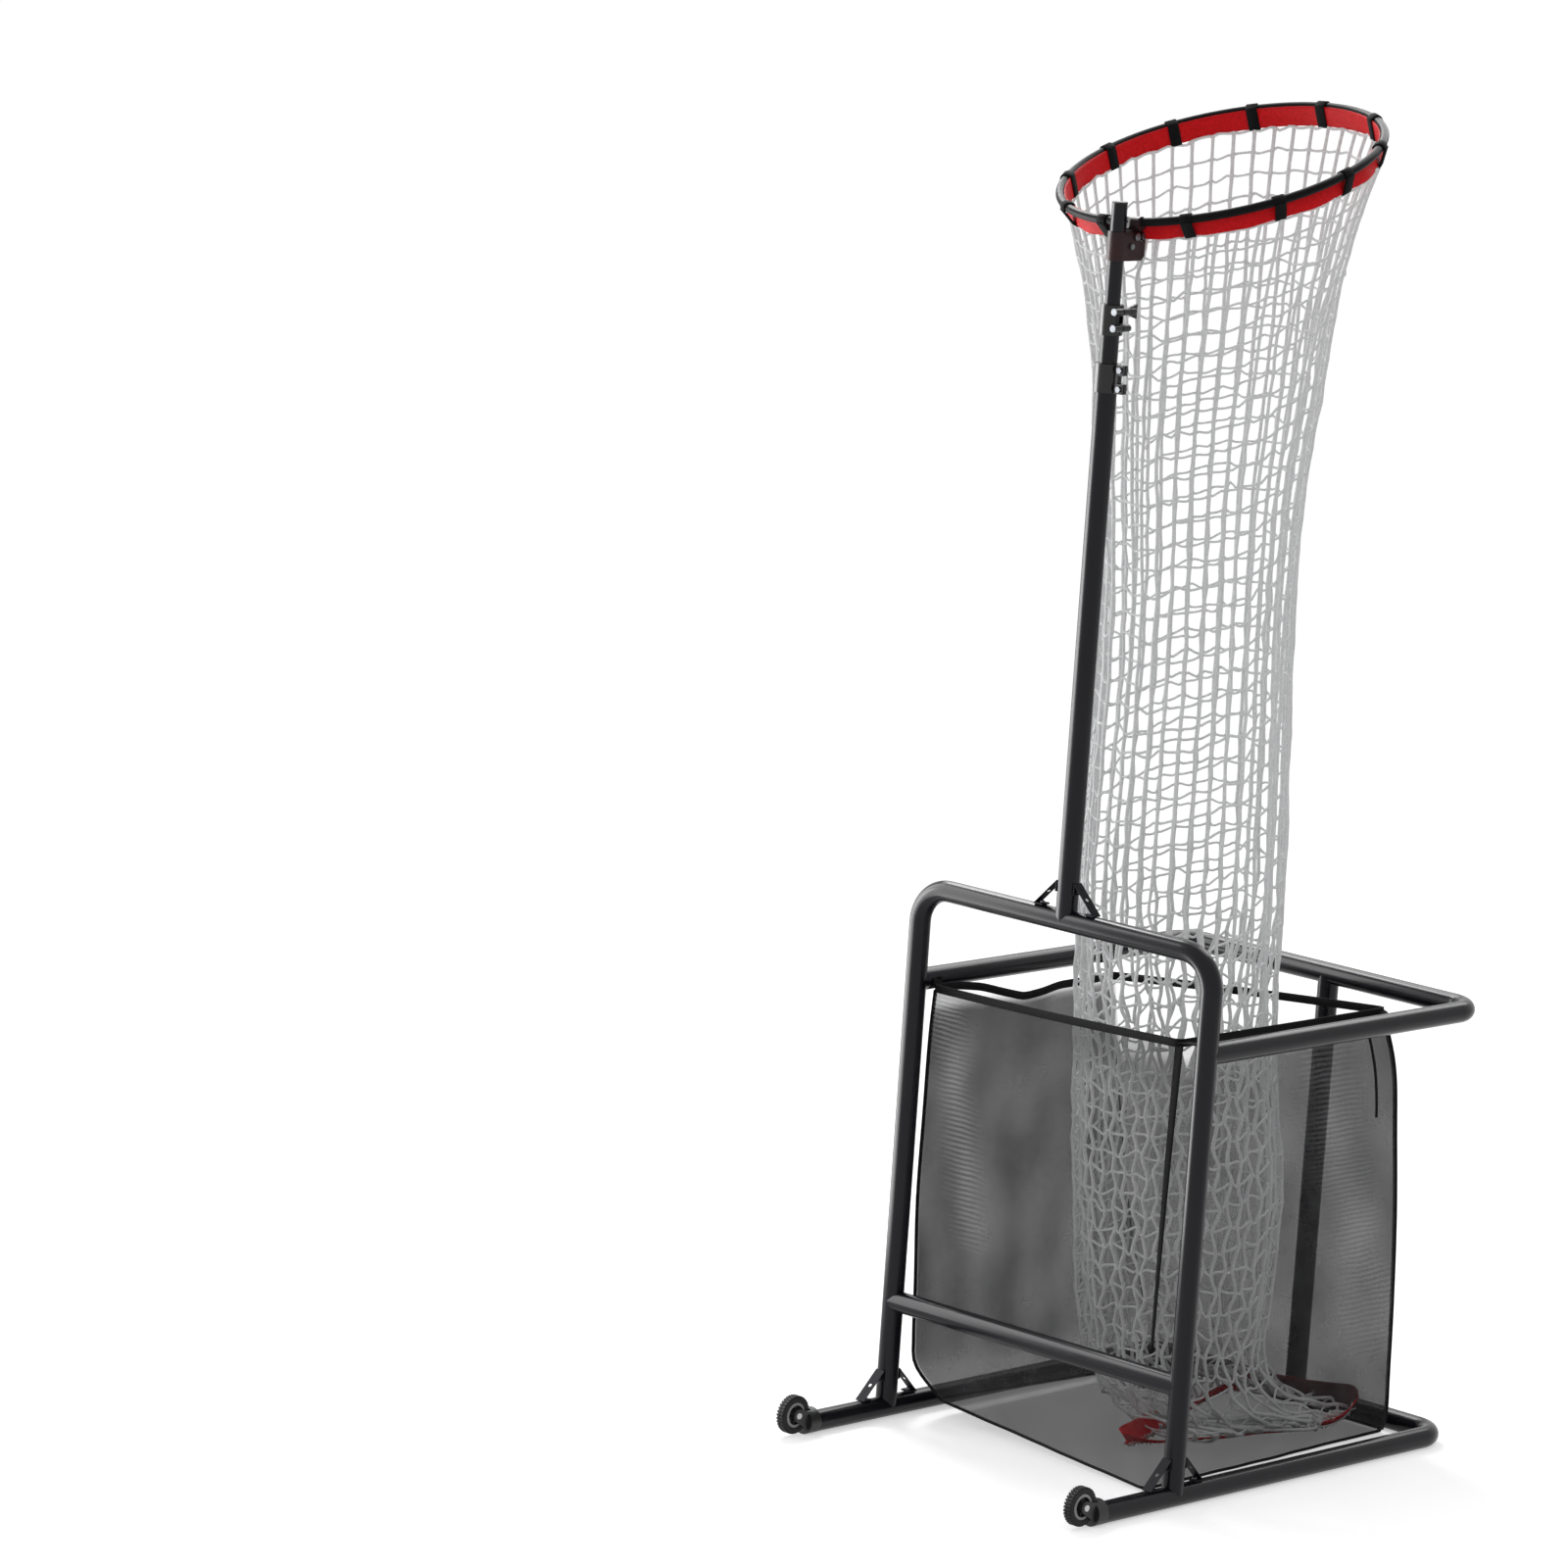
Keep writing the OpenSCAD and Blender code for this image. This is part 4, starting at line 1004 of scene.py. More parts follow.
@dataclass
class Studio:
    """A white floor, soft light and the camera.

    The two cards only show as reflections, the way a studio's reflector cards put a sheen on
    tubes: one stands beside the object and one hangs over it.
    """

    fill: float = 0.6
    floor_glow: float = 0.47
    eye: tuple[float, float, float] = (8.0845, -9.55565, 3.4182)
    focal_mm: float = 167.5
    sensor_mm: float = 36.0
    heading: float = 43.27
    pitch: float = 10.34
    roll: float = 3.89

    def camera(self) -> None:
        """Sets the camera up from its heading, pitch and roll."""
        a, e, r = (math.radians(v) for v in (self.heading, self.pitch, self.roll))
        look = Vector((-math.sin(a) * math.cos(e), math.cos(a) * math.cos(e), -math.sin(e)))
        level = Vector((math.cos(a), math.sin(a), 0))
        rise = level.cross(look)
        right = level * math.cos(r) + rise * math.sin(r)
        top = rise * math.cos(r) - level * math.sin(r)
        data = bpy.data.cameras.new("camera")
        data.sensor_width, data.lens = self.sensor_mm, self.focal_mm
        data.clip_end = 200
        made = bpy.data.objects.new("camera", data)
        bpy.context.scene.collection.objects.link(made)
        turn = Matrix((right, top, -look)).transposed().to_4x4()
        made.matrix_world = Matrix.Translation(self.eye) @ turn
        bpy.context.scene.camera = made

    def floor(self) -> None:
        """Lays a wide white floor that keeps the object's shadow."""
        deselect()
        bpy.ops.mesh.primitive_plane_add(size=160, location=(0, 0, 0))
        made = bpy.context.active_object
        made.name = "floor"
        look = bpy.data.materials.new("white_floor")
        look.use_nodes = True
        tree = look.node_tree
        tree.nodes.clear()
        paint = add_node(tree, "ShaderNodeBsdfDiffuse", {"Color": (0.93, 0.93, 0.93, 1)})
        strength = self.seen(tree, self.floor_glow)
        glow = add_node(tree, "ShaderNodeEmission", {"Color": (1, 1, 1, 1), "Strength": strength})
        both = add_node(
            tree, "ShaderNodeAddShader", {0: paint.outputs["BSDF"], 1: glow.outputs["Emission"]}
        )
        add_node(tree, "ShaderNodeOutputMaterial", {"Surface": both.outputs["Shader"]})
        made.data.materials.append(look)
        deselect()

    def seen(self, tree: bpy.types.NodeTree, strength: float) -> bpy.types.NodeSocket:
        """Gives a strength only to rays that show the background, in view or in a reflection.

        Args:
            tree: The tree of the material or the world.
            strength: The strength for those rays.

        Returns:
            The strength, which is 0 for all other rays.
        """
        path = add_node(tree, "ShaderNodeLightPath").outputs
        shown = maths(tree, "MAXIMUM", path["Is Camera Ray"], path["Is Glossy Ray"])
        shown = maths(tree, "MAXIMUM", shown, path["Is Transmission Ray"])
        return maths(tree, "MULTIPLY", shown, strength)

    def world(self) -> None:
        """Makes a white backdrop that lights the object with a plain soft fill."""
        made = bpy.data.worlds.new("studio")
        bpy.context.scene.world = made
        made.use_nodes = True
        tree = made.node_tree
        tree.nodes.clear()
        level = maths(tree, "ADD", self.seen(tree, 1.0 - self.fill), self.fill)
        sky = add_node(tree, "ShaderNodeBackground", {"Color": (1, 1, 1, 1), "Strength": level})
        add_node(tree, "ShaderNodeOutputWorld", {"Surface": sky.outputs["Background"]})

    def lamp(
        self,
        name: str,
        place: tuple[float, float, float],
        size: tuple[float, float],
        watts: float,
        gloss_only: bool = False,
    ) -> None:
        """Hangs one soft lamp that looks at the middle of the object.

        Args:
            name: The lamp's name.
            place: Its place in metres.
            size: Its width and height in metres.
            watts: Its power.
            gloss_only: Whether it only shows as a reflection, like a studio's reflector card.
        """
        data = bpy.data.lights.new(name, "AREA")
        data.shape, data.energy = "RECTANGLE", watts
        data.size, data.size_y = size
        made = bpy.data.objects.new(name, data)
        bpy.context.scene.collection.objects.link(made)
        made.visible_camera = False
        made.visible_diffuse = not gloss_only
        made.location = place
        made.rotation_mode = "QUATERNION"
        made.rotation_quaternion = (Vector((0, 0, 1.1)) - Vector(place)).to_track_quat("-Z", "Y")

    def build(self) -> None:
        """Sets up the whole studio."""
        scene = bpy.context.scene
        scene.view_settings.view_transform = "Standard"
        self.camera()
        self.floor()
        self.world()
        self.lamp("key_lamp", (-6.0, -3.6, 1.5), (1.0, 2.6), 115)
        self.lamp("top_lamp", (-2.5, 0.8, 3.85), (1.2, 1.2), 65)
        self.lamp("side_card", (-1.3, -0.75, 1.17), (1.3, 2.3), 66, gloss_only=True)
        self.lamp("top_card", (-1.1, 2.0, 4.2), (4.2, 4.2), 240, gloss_only=True)


# ---- Hoop -----------------------------------------------------------------------------------


@dataclass
class HoopDressing:
    """The red band inside the hoop and the tapes that hold it."""

    band_thick: float = 1.9
    band_top: float = 2.6
    bulge: float = 2.6
    gap_half: float = 36.0
    strap_width: float = 20.0
    strap_thick: float = 2.4
    flap_thick: float = 1.3
    strap_angles: tuple[float, ...] = (
        358.2, 24.8, 57.8, 90.1, 118.3, 147.9, 175.2, 203.6, 237.9, 263.7, 296.9, 329.4,
    )  # fmt: skip

    def band(self) -> bpy.types.Object:
        """Makes the band as a long strip of coated weave, open where the lug sits.

        Returns:
            The band.
        """
        radius = HOOP.band_radius - self.band_thick / 2
        start = math.asin(self.gap_half / radius)
        middle = -math.pi / 2
        angles = np.linspace(middle + start, middle + 2 * math.pi - start, 361)
        heights = np.array([self.band_top, -4, -9, -14, -20, -26, -30, -HOOP.band_drop])
        marks = np.radians(np.array(self.strap_angles))
        apart = np.abs((angles[:, None] - marks[None, :] + math.pi) % (2 * math.pi) - math.pi)
        free = ease(apart.min(1) / math.radians(13))
        free *= ease(np.minimum(angles - angles[0], angles[-1] - angles) / math.radians(9))
        stray = drift(np.array([(a * 5, 3.1, 0.4) for a in angles]))
        columns = []
        for h in heights:
            push = ease(np.array((-7 - h) / 18)) * self.bulge * free * (0.8 + 0.9 * stray)
            drop = -0.9 * free * ease(np.array((-20 - h) / 12)) * (1 + stray)
            columns.append(HOOP.at(angles, radius + push, h + drop))
        grid = np.stack(columns, axis=1)
        faces, uv = grid_faces(angles * radius / 1000, heights / 1000)
        made = mesh_object("hoop_red_band", row(grid.reshape(-1, 3)), faces, uv[:, ::-1])
        harden(made, self.band_thick)
        dress(made, "red_band", "hoop_band")
        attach(made, Body.HOOP.value)
        return made

    def strap_line(self) -> np.ndarray:
        """Returns a strap's loop round tube and band, as pairs of radius step and height.

        Returns:
            The loop's points, in millimetres from the tube's middle.
        """
        off = 0.2 + self.strap_thick / 2
        lining = -(HOOP.tube_radius + 0.3 + 1)
        turns = np.linspace(0, 2 * math.pi, 48, endpoint=False)
        around = []
        for x, z, r in ((0, 0, HOOP.tube_radius), (lining, -HOOP.band_drop, 1), (lining, 3, 1)):
            around.append(np.stack([x + (r + off) * np.cos(turns), z + (r + off) * np.sin(turns)], 1))
        cloud = np.concatenate(around)
        cloud = cloud[np.lexsort((cloud[:, 1], cloud[:, 0]))]

        def half(points: np.ndarray) -> list[np.ndarray]:
            """Returns one side of the tight outline round the points.

            Args:
                points: The points, sorted along that side.

            Returns:
                The outline's corners but the last.
            """
            kept: list[np.ndarray] = []
            for p in points:
                while len(kept) > 1:
                    (ax, az), (bx, bz) = kept[-1] - kept[-2], p - kept[-2]
                    if ax * bz - az * bx > 0:
                        break
                    kept.pop()
                kept.append(p)
            return kept[:-1]

        outline = np.array(half(cloud) + half(cloud[::-1]))
        line = np.concatenate([outline, np.zeros((len(outline), 1))], axis=1)
        return even(line, 64, closed=True)[:, :2]

    def straps(self) -> bpy.types.Object:
        """Makes the tapes: each a closed loop with its free end lying on the outside.

        Returns:
            The tapes.
        """
        loop = self.strap_line()
        parts = []
        for k, angle in enumerate(self.strap_angles):
            mid = math.radians(angle)
            path = HOOP.at(mid, HOOP.radius + loop[:, 0], loop[:, 1])
            step = HOOP.at(mid + 0.01, HOOP.radius, 0) - HOOP.at(mid - 0.01, HOOP.radius, 0)
            parts.append(tape(f"strap_{k}", path, step, self.strap_width, self.strap_thick, True))
            outer = loop[(loop[:, 0] > -7.5) & (loop[:, 1] < -2) & (loop[:, 1] > -33)]
            outer = outer[np.argsort(-outer[:, 1])]
            lift = np.linspace(self.strap_thick, self.strap_thick * 0.9, len(outer))
            flap = HOOP.at(mid, HOOP.radius + outer[:, 0] + lift, outer[:, 1])
            parts.append(tape(f"flap_{k}", flap, step, self.strap_width - 0.8, self.flap_thick))
        made = dress(join("hoop_hook_and_loop_straps", parts), "strap_webbing", "band_straps")
        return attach(made, Body.HOOP.value)

    def build(self) -> None:
        """Makes the hoop's band and straps."""
        self.band()
        self.straps()


# ---- Chute ----------------------------------------------------------------------------------


@dataclass
class Chute:
    """The long knitted net that falls from the hoop into the bag."""

    strands: int = 48
    strand_radius: float = 3.3
    cross_radius: float = 2.35
    funnel_rows: int = 10
    hanging_rows: int = 42
    foot_rows: int = 8
    facing: float = math.radians(-49.9)
    crowd: float = 0.25
    high_z: float = 1866.0
    low_z: float = 190.0
    seed: int = 11
    # rows of hanging net above the seams between the upper, lower and foot lengths
    seam_rows: tuple[int, int] = (16, 36)
    # how far a tilted row reaches above and below its middle
    slope: float = 84.0
    # the funnel below the band: the depth of its top stretch, and of the stretch below it
    funnel_stiff: float = 6.0
    funnel_bend: float = 278.64
    # height, middle x, middle y, radius
    stations: tuple[tuple[float, float, float, float], ...] = (
        (1900, -26, 296, 201), (1866, -25, 296, 196), (1695, -20, 290, 181.5),
        (1523, -15, 296, 171.5), (1351, -10, 298, 173), (1177, -6, 296, 179),
        (1000, -2, 297, 184), (870, 2, 301, 179), (651, 8, 316, 180.5),
        (475, 14, 334, 189), (297, 18, 340, 177), (190, 20, 345, 165), (150, 20, 348, 160),
    )  # fmt: skip
    # x, y, z of the hem's middle line, how steeply it stands in degrees, how far it is folded up
    hem: tuple[tuple[float, float, float, float, float], ...] = (
        (72, 262, 9, 8, 1), (88, 318, 8, 6, 1), (112, 386, 7, 4, 1), (128, 466, 7, 4, 1),
        (158, 540, 9, 14, 0.9), (190, 604, 22, 40, 0.2), (190, 658, 40, 60, 0), (160, 692, 50, 82, 0),
        (96, 700, 40, 88, 0), (22, 700, 31, 88, 0), (-50, 694, 24, 80, 0), (-86, 668, 17, 50, 0.5),
        (-88, 606, 9, 14, 1), (-66, 528, 7, 4, 1), (-30, 440, 7, 4, 1), (-2, 385, 12, 20, 0.6),
        (8, 352, 24, 45, 0), (37, 269, 26, 48, 0), (66, 186, 26, 48, 0),
    )  # fmt: skip
    # how deep the flutes at the sides are, and how much wider the strands spread in the bag
    flute: float = 13.0
    crowd_low: float = 0.4
    # a crossing's random slip in x, y and z, the slow drift down a strand, the sway to and fro
    # from one crossing to the next, and the step up and down: high in the net, and what is added
    # low in it, where the cords hang slack
    slip: tuple[float, float, float] = (0.9, 0.9, 1.9)
    slip_low: float = 0.6
    wander: tuple[float, float] = (0.9, 0.9)
    sway: tuple[float, float] = (0.35, 4.4)
    stagger: tuple[float, float] = (3.0, 3.0)
    # a cross cord's length against its gap and in all, its sag, and how many bow upwards
    cord_slack: float = 1.03
    cord_least: float = 30.0
    sag_share: float = 0.72
    sag_most: float = 9.5
    bowed_up: float = 0.22
    # the share of the hem, from its first point on, that the strands are laced to, and the
    # direction in which the first of them lies
    laced: tuple[float, float] = (0.05, 0.86)
    laced_from: float = math.radians(-104)
    foot_middle: tuple[float, float, float] = (20, 345, 0)
    hem_width: float = 38.0
    hem_thick: float = 1.8
    rng: np.random.Generator = field(init=False, repr=False)
    knots: np.ndarray = field(init=False, repr=False)
    hem_line: np.ndarray = field(init=False, repr=False)
    hem_across: np.ndarray = field(init=False, repr=False)
    hem_fold: np.ndarray = field(init=False, repr=False)

    def __post_init__(self) -> None:
        """Works out the hem's line and every crossing of the net."""
        self.rng = np.random.default_rng(self.seed)
        self.hem_line, self.hem_across, self.hem_fold = self.hem_lay()
        self.knots = self.crossings()

    def hem_lay(self) -> tuple[np.ndarray, np.ndarray, np.ndarray]:
        """Returns the hem's middle line, the direction of its width and its share of folding.

        Returns:
            Points in millimetres, unit vectors, and shares from 0 to 1.
        """
        line = even(spline(np.array(self.hem), 24, closed=True), 384, closed=True)
        place, tilt, fold = line[:, :3].copy(), np.radians(line[:, 3]), np.clip(line[:, 4], 0, 1)
        out = unit(np.cross(heading(place, 2), (0, 0, 1)))
        across = out * np.cos(tilt)[:, None] + np.array((0, 0, 1)) * np.sin(tilt)[:, None]
        wave = drift(place * (1, 1, 0) / 45 + (0, 0, 0.3))
        place[:, 2] += 2.5 * (1 + wave) * (1 - fold)
        return place, across, fold

    def hem_strip(self) -> bpy.types.Object:
        """Makes the hem as one strip of cloth, flat where it is seen and folded under the net.

        Returns:
            The hem.
        """
        count = 7
        flat = np.linspace(-0.5, 0.5, count) * self.hem_width
        step = self.hem_width / (count - 1)
        folded = step * np.array((-1, 0, 1, 0, -1, 0, 1))
        lift = np.array((0, 0.7, 1.4, 2.2, 3.0, 3.8, 4.6))  # how high each layer of the fold lies
        fold = self.hem_fold[:, None]
        off = unit(np.cross(self.hem_across, heading(self.hem_line)))
        side = flat * (1 - fold) + folded * fold
        ripple = drift(np.array([(k * 0.22, 0.5, 2.0) for k in range(len(fold))]))
        rise = lift * fold + (1 - fold) * ripple[:, None] * 3.0 * np.linspace(0, 1, count)
        grid = (
            self.hem_line[:, None, :]
            + side[..., None] * self.hem_across[:, None, :]
            + rise[..., None] * off[:, None, :]
        )
        grid[..., 2] = np.maximum(grid[..., 2], 6.2)
        run = lengths(self.hem_line)
        faces, uv = grid_faces(np.append(run, run[-1] + 3.5) / 1000, flat / 1000, closed=True)
        made = mesh_object("chute_red_hem", row(grid.reshape(-1, 3)), faces, uv)
        return harden(made, self.hem_thick)

    def angles(self, crowd: np.ndarray) -> np.ndarray:
        """Returns each strand's angle, spaced wider in front and behind.

        Args:
            crowd: How much the sides draw together, one number per row.

        Returns:
            Angles in radians, one line per row.
        """
        u = 2 * math.pi * (np.arange(self.strands) + 0.5) / self.strands
        return self.facing + u[None, :] + 0.5 * crowd[:, None] * np.sin(2 * u)[None, :]

    def middle(self, z: np.ndarray) -> tuple[np.ndarray, np.ndarray, np.ndarray]:
        """Returns the chute's middle x, middle y and radius at given heights.

        Args:
            z: The heights in millimetres.

        Returns:
            The three values at each height, in millimetres.
        """
        table = np.array(self.stations)[::-1]
        fine = np.arange(table[0, 0], table[-1, 0] + 1, 10.0)
        kernel = np.hanning(15)
        kernel /= kernel.sum()
        made = []
        for k in (1, 2, 3):
            line = np.interp(fine, table[:, 0], table[:, k])
            line = np.convolve(np.pad(line, 7, mode="edge"), kernel, mode="valid")
            made.append(np.interp(z, fine, line))
        return made[0], made[1], made[2]

    def gather(self, z: float) -> np.ndarray:
        """Returns each strand's angle at a height: the sides draw together above the bag."""
        low = float(ease(np.array((950 - z) / 300)))
        return self.angles(np.array([self.crowd - self.crowd_low * low]))[0]

    def level(self, z: float) -> np.ndarray:
        """Returns the crossings of one row, which lies parallel to the tilted hoop but for the foot.

        Args:
            z: The height of the row's middle.

        Returns:
            The crossings in millimetres.
        """
        angle = self.gather(z)
        slant = 0.12 + 0.88 * float(ease(np.array((z - self.low_z) / 560)))
        rise = np.sin(angle) * math.tan(math.radians(HOOP.tilt))
        rise += np.cos(angle) * math.tan(math.radians(HOOP.lean))
        radius = float(self.middle(np.array(z))[2])
        x, y, r = self.middle(z + slant * radius * rise)
        side = np.sin(angle - self.facing) ** 2
        fold = 0.016 * np.cos(7 * angle + 0.0016 * z) + 0.014 * np.cos(11 * angle - 0.0023 * z)
        deep = side * (0.5 + 0.5 * np.cos(16 * angle + 0.0012 * z))
        reach = r * (1 + fold) - self.flute * deep
        up = z + slant * reach * rise
        return np.stack([x + reach * np.cos(angle), y + reach * np.sin(angle), up], 1)

    def funnel(self) -> np.ndarray:
        """Returns the rows from the band's lower edge down to the hanging net.

        Returns:
            Crossings in millimetres, one line per row.
        """
        start_angle = self.angles(np.array([0.04]))[0]
        top = HOOP.at(start_angle, HOOP.band_radius - 1.0, -HOOP.band_drop - 1.6)
        low = self.level(self.high_z)
        under = self.level(self.high_z - 60)
        span = np.linalg.norm(low - top, axis=1, keepdims=True)
        inward = unit((low - top) * (1, 1, 0))
        leave = (np.array((0, 0, -1)) + 0.34 * inward) * span
        arrive = unit(under - low) * span
        t = (np.arange(self.funnel_rows) / self.funnel_rows)[:, None, None]
        made = bend(top, leave, low, arrive, t)
        near = np.clip(1 - (made[..., 0] / 56) ** 2, 0, 1) * (made[..., 1] < 150)
        high = ease((made[..., 2] - 2060) / 50)
        made[..., 1] = np.maximum(made[..., 1], (46 + 30 * near) * (near > 0) * high)
        return made

    def foot(self) -> np.ndarray:
        """Returns the rows that fall from the hanging net to the hem on the bag's floor.

        Returns:
            Crossings in millimetres, one line per row.
        """
        above = self.level(self.low_z + 40)
        ring = self.level(self.low_z)
        angle = self.gather(self.low_z)
        share = ((angle - self.laced_from) / (2 * math.pi)) % 1.0
        share = self.laced[0] + share * (self.laced[1] - self.laced[0])
        at = (share * len(self.hem_line)).astype(int) % len(self.hem_line)
        fold = self.hem_fold[at][:, None]
        end = self.hem_line[at] - self.hem_across[at] * (self.hem_width / 2 - 3) * (1 - fold)
        end[:, 2] = np.maximum(end[:, 2] + 7 * fold[:, 0], 9)
        span = np.linalg.norm(end - ring, axis=1, keepdims=True)
        leave = unit(ring - above) * span * 1.25
        outward = unit((end - ring) * (1, 1, 0)) * (1, 1, 0) + np.array((0, 0, -0.12))
        arrive = outward * span * 0.75
        t = ((np.arange(self.foot_rows) + 1) / self.foot_rows)[:, None, None]
        made = bend(ring, leave, end, arrive, t)
        slack = np.sin(math.pi * t)
        made = made + slack * self.rng.normal(0, 4.5, made.shape)
        heap = np.exp(-(((t - 0.78) / 0.16) ** 2)) * fold[None, :, :]
        away = unit((end - self.foot_middle) * (1, 1, 0))[None, :, :]
        made = made + heap * (away * 84 + np.array((0, 0, 14.0)))
        made[..., 2] = np.maximum(made[..., 2], 8.5 + 5 * self.rng.random(made.shape[:2]))
        return made

    def crossings(self) -> np.ndarray:
        """Returns every crossing, one line per row and strand, with small slips in the knitting.

        Returns:
            Crossings in millimetres.
        """
        heights = np.linspace(self.high_z, self.low_z, self.hanging_rows + 1)
        hanging = np.stack([self.level(float(z)) for z in heights])
        whole = np.concatenate([self.funnel(), hanging, self.foot()])
        rows, count = whole.shape[:2]
        slips = self.rng.normal(0, 1, (rows, count, 3))
        coarse = self.rng.normal(0, 1, (rows // 6 + 3, count, 3))
        at = np.linspace(0, len(coarse) - 1.001, rows)
        base, part = at.astype(int), (at % 1)[:, None, None]
        slow = coarse[base] * (1 - part) + coarse[base + 1] * part
        calm = ease(np.minimum(np.arange(rows), 4) / 4)[:, None, None]
        lower = ease((1150 - whole[..., 2:3]) / 500)
        size = np.array(self.slip) * (1 + self.slip_low * lower)
        whole = whole + calm * (slips * size + slow * (self.wander[0] + self.wander[1] * lower))
        turns = (-1.0) ** (np.arange(rows)[:, None] + np.arange(count)[None, :])
        sway = turns[..., None] * (self.sway[0] + self.sway[1] * lower)
        whole = whole + calm * heading(whole, axis=1) * sway
        steps = (-1.0) ** np.arange(count)[None, :] * (0.7 + 0.6 * slow[..., 1])
        whole[..., 2] += calm[..., 0] * steps * (self.stagger[0] + self.stagger[1] * lower[..., 0])
        whole[..., 2] = np.maximum(whole[..., 2], 8.5)
        return whole

    def runs(self, first: int, last: int) -> list[Run]:
        """Returns the cords between two rows.

        Args:
            first: The upper row.
            last: The lower row, whose own cross cord belongs to the next length.

        Returns:
            The strands and the cross cords of that part.
        """
        part = self.knots[first : last + 1]
        rng = np.random.default_rng(self.seed + 7 * first + 1)
        made = []
        for i in range(self.strands):
            line = spline(part[:, i], 3)
            thick = np.where(np.arange(len(line)) % 3 == 0, 1.12, 1.0) * self.strand_radius
            thick = thick * rng.uniform(0.92, 1.08)
            made.append(Run(line, thick))
        return made + [self.cross(knots, rng) for knots in part[:-1]]

    def cross(self, knots: np.ndarray, rng: np.random.Generator) -> Run:
        """Returns one row's cross cord, slack between the strands.

        Args:
            knots: The row's crossings.
            rng: Where the random slack comes from.

        Returns:
            The closed cord.
        """
        ahead = np.roll(knots, -1, 0)
        gap = np.linalg.norm(ahead - knots, axis=1)
        cord = np.maximum(gap * self.cord_slack, self.cord_least)
        sag = np.sqrt(0.375 * gap * np.maximum(cord - gap, 0.3)) * self.sag_share
        sag = np.minimum(sag, self.sag_most) * rng.uniform(0.45, 1.1, len(gap))
        sag = sag * np.where(rng.random(len(gap)) < self.bowed_up, -0.7, 1.0)
        middle = knots.mean(0)
        out = unit((knots + ahead) / 2 - middle)
        out[:, 2] = 0
        lean = rng.normal(0, 0.45, len(gap))
        skew = rng.uniform(-0.12, 0.12, len(gap))
        wave = rng.normal(0, 1.6, len(gap))
        made = [knots]
        for t in (0.25, 0.5, 0.75):
            bow = 4 * t * (1 - t) * (1 + skew * math.copysign(1, t - 0.5) if t != 0.5 else 1)
            height = wave * math.sin(2 * math.pi * t) - sag * bow
            drop = np.stack([np.zeros_like(sag), np.zeros_like(sag), height], 1)
            made.append(knots * (1 - t) + ahead * t + drop + out * (np.abs(sag) * bow * lean)[:, None])
        line = np.stack(made, 1).reshape(-1, 3)
        line[:, 2] = np.maximum(line[:, 2], 7.4)
        thick = np.tile([1.25, 1.0, 0.95, 1.0], len(knots)) * self.cross_radius
        return Run(line, thick * rng.uniform(0.9, 1.1), True)

    def lacing(self) -> list[Run]:
        """Returns the cord that whips the net to its hem, with one slack loop.

        Returns:
            Both cords.
        """
        line, across = self.hem_line, unit(self.hem_across)
        off = unit(np.cross(heading(line), across))
        turns = 3 * np.arange(len(line)) * 2 * math.pi / 8
        reach = (self.hem_width / 2 - 1.5) * (1 - self.hem_fold) + 4 * self.hem_fold
        edge = line - across * reach[:, None]
        coil = edge + across * (4.5 * np.cos(turns))[:, None] + off * (3.6 * np.sin(turns))[:, None]
        coil[:, 2] = np.maximum(coil[:, 2], 6.6)
        loop = spline(
            np.array(
                [
                    (168, 688, 60), (184, 668, 47), (195, 640, 33), (199, 606, 24), (193, 578, 20),
                    (180, 572, 22), (174, 596, 26), (184, 634, 35), (193, 662, 40), (180, 684, 36),
                ]
            ),
            5,
        )  # fmt: skip
        return [
            Run(coil, np.full(len(coil), 1.25), True),
            Run(loop, np.full(len(loop), 1.5)),
        ]

    def build(self) -> None:
        """Makes the four lengths of net and the hem."""
        high = self.funnel_rows
        mid, low = (high + rows for rows in self.seam_rows)
        end = high + self.hanging_rows + self.foot_rows
        pieces = {
            "chute_net_funnel": (0, high),
            "chute_net_upper": (high, mid),
            "chute_net_lower": (mid, low),
            "chute_net_foot": (low, end),
        }
        made = {}
        for name, (first, last) in pieces.items():
            lacing = self.lacing() if name == "chute_net_foot" else []
            made[name] = cords(name, self.runs(first, last) + lacing)
        dress(made["chute_net_funnel"], "net_cord", "net_upper")
        dress(made["chute_net_upper"], "net_cord", "net_middle")
        dress(made["chute_net_lower"], "net_cord", "net_middle", "net_lower")
        dress(made["chute_net_foot"], "net_cord", "net_lower")
        self.follow(made, mid, low)
        hem = dress(self.hem_strip(), "red_band", "net_cuff")
        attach(hem, Body.STAND.value)

    def follow(self, made: dict[str, bpy.types.Object], mid: int, low: int) -> None:
        """Bakes the places of the funnel and the middle lengths into their meshes, and hangs the foot on
        the stand.

        Args:
            made: The four lengths by name.
            mid: The row where the middle lengths meet.
            low: The row where the lower length meets the foot.
        """
        step = (self.high_z - self.low_z) / self.hanging_rows
        mid_z = self.high_z - step * (mid - self.funnel_rows)
        low_z = self.high_z - step * (low - self.funnel_rows)
        centre = row(HOOP.at(0, 0, -HOOP.band_drop - self.funnel_stiff))
        start = row(HOOP.at(0, 0, -HOOP.band_drop - self.funnel_stiff - self.funnel_bend))
        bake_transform(made["chute_net_funnel"])
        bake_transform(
            made["chute_net_upper"],
            Body.MIDDLE_MAST.value,
            Body.UPPER_MAST.value,
            row((0, 296, mid_z + self.slope)),
            row((0, 296, self.high_z - self.slope)),
        )
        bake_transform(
            made["chute_net_lower"],
            Body.STAND.value,
            Body.MIDDLE_MAST.value,
            row((0, 296, low_z + self.slope)),
            row((0, 296, mid_z - self.slope)),
        )
        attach(made["chute_net_foot"], Body.STAND.value)


# ---- Catch bag ------------------------------------------------------------------------------


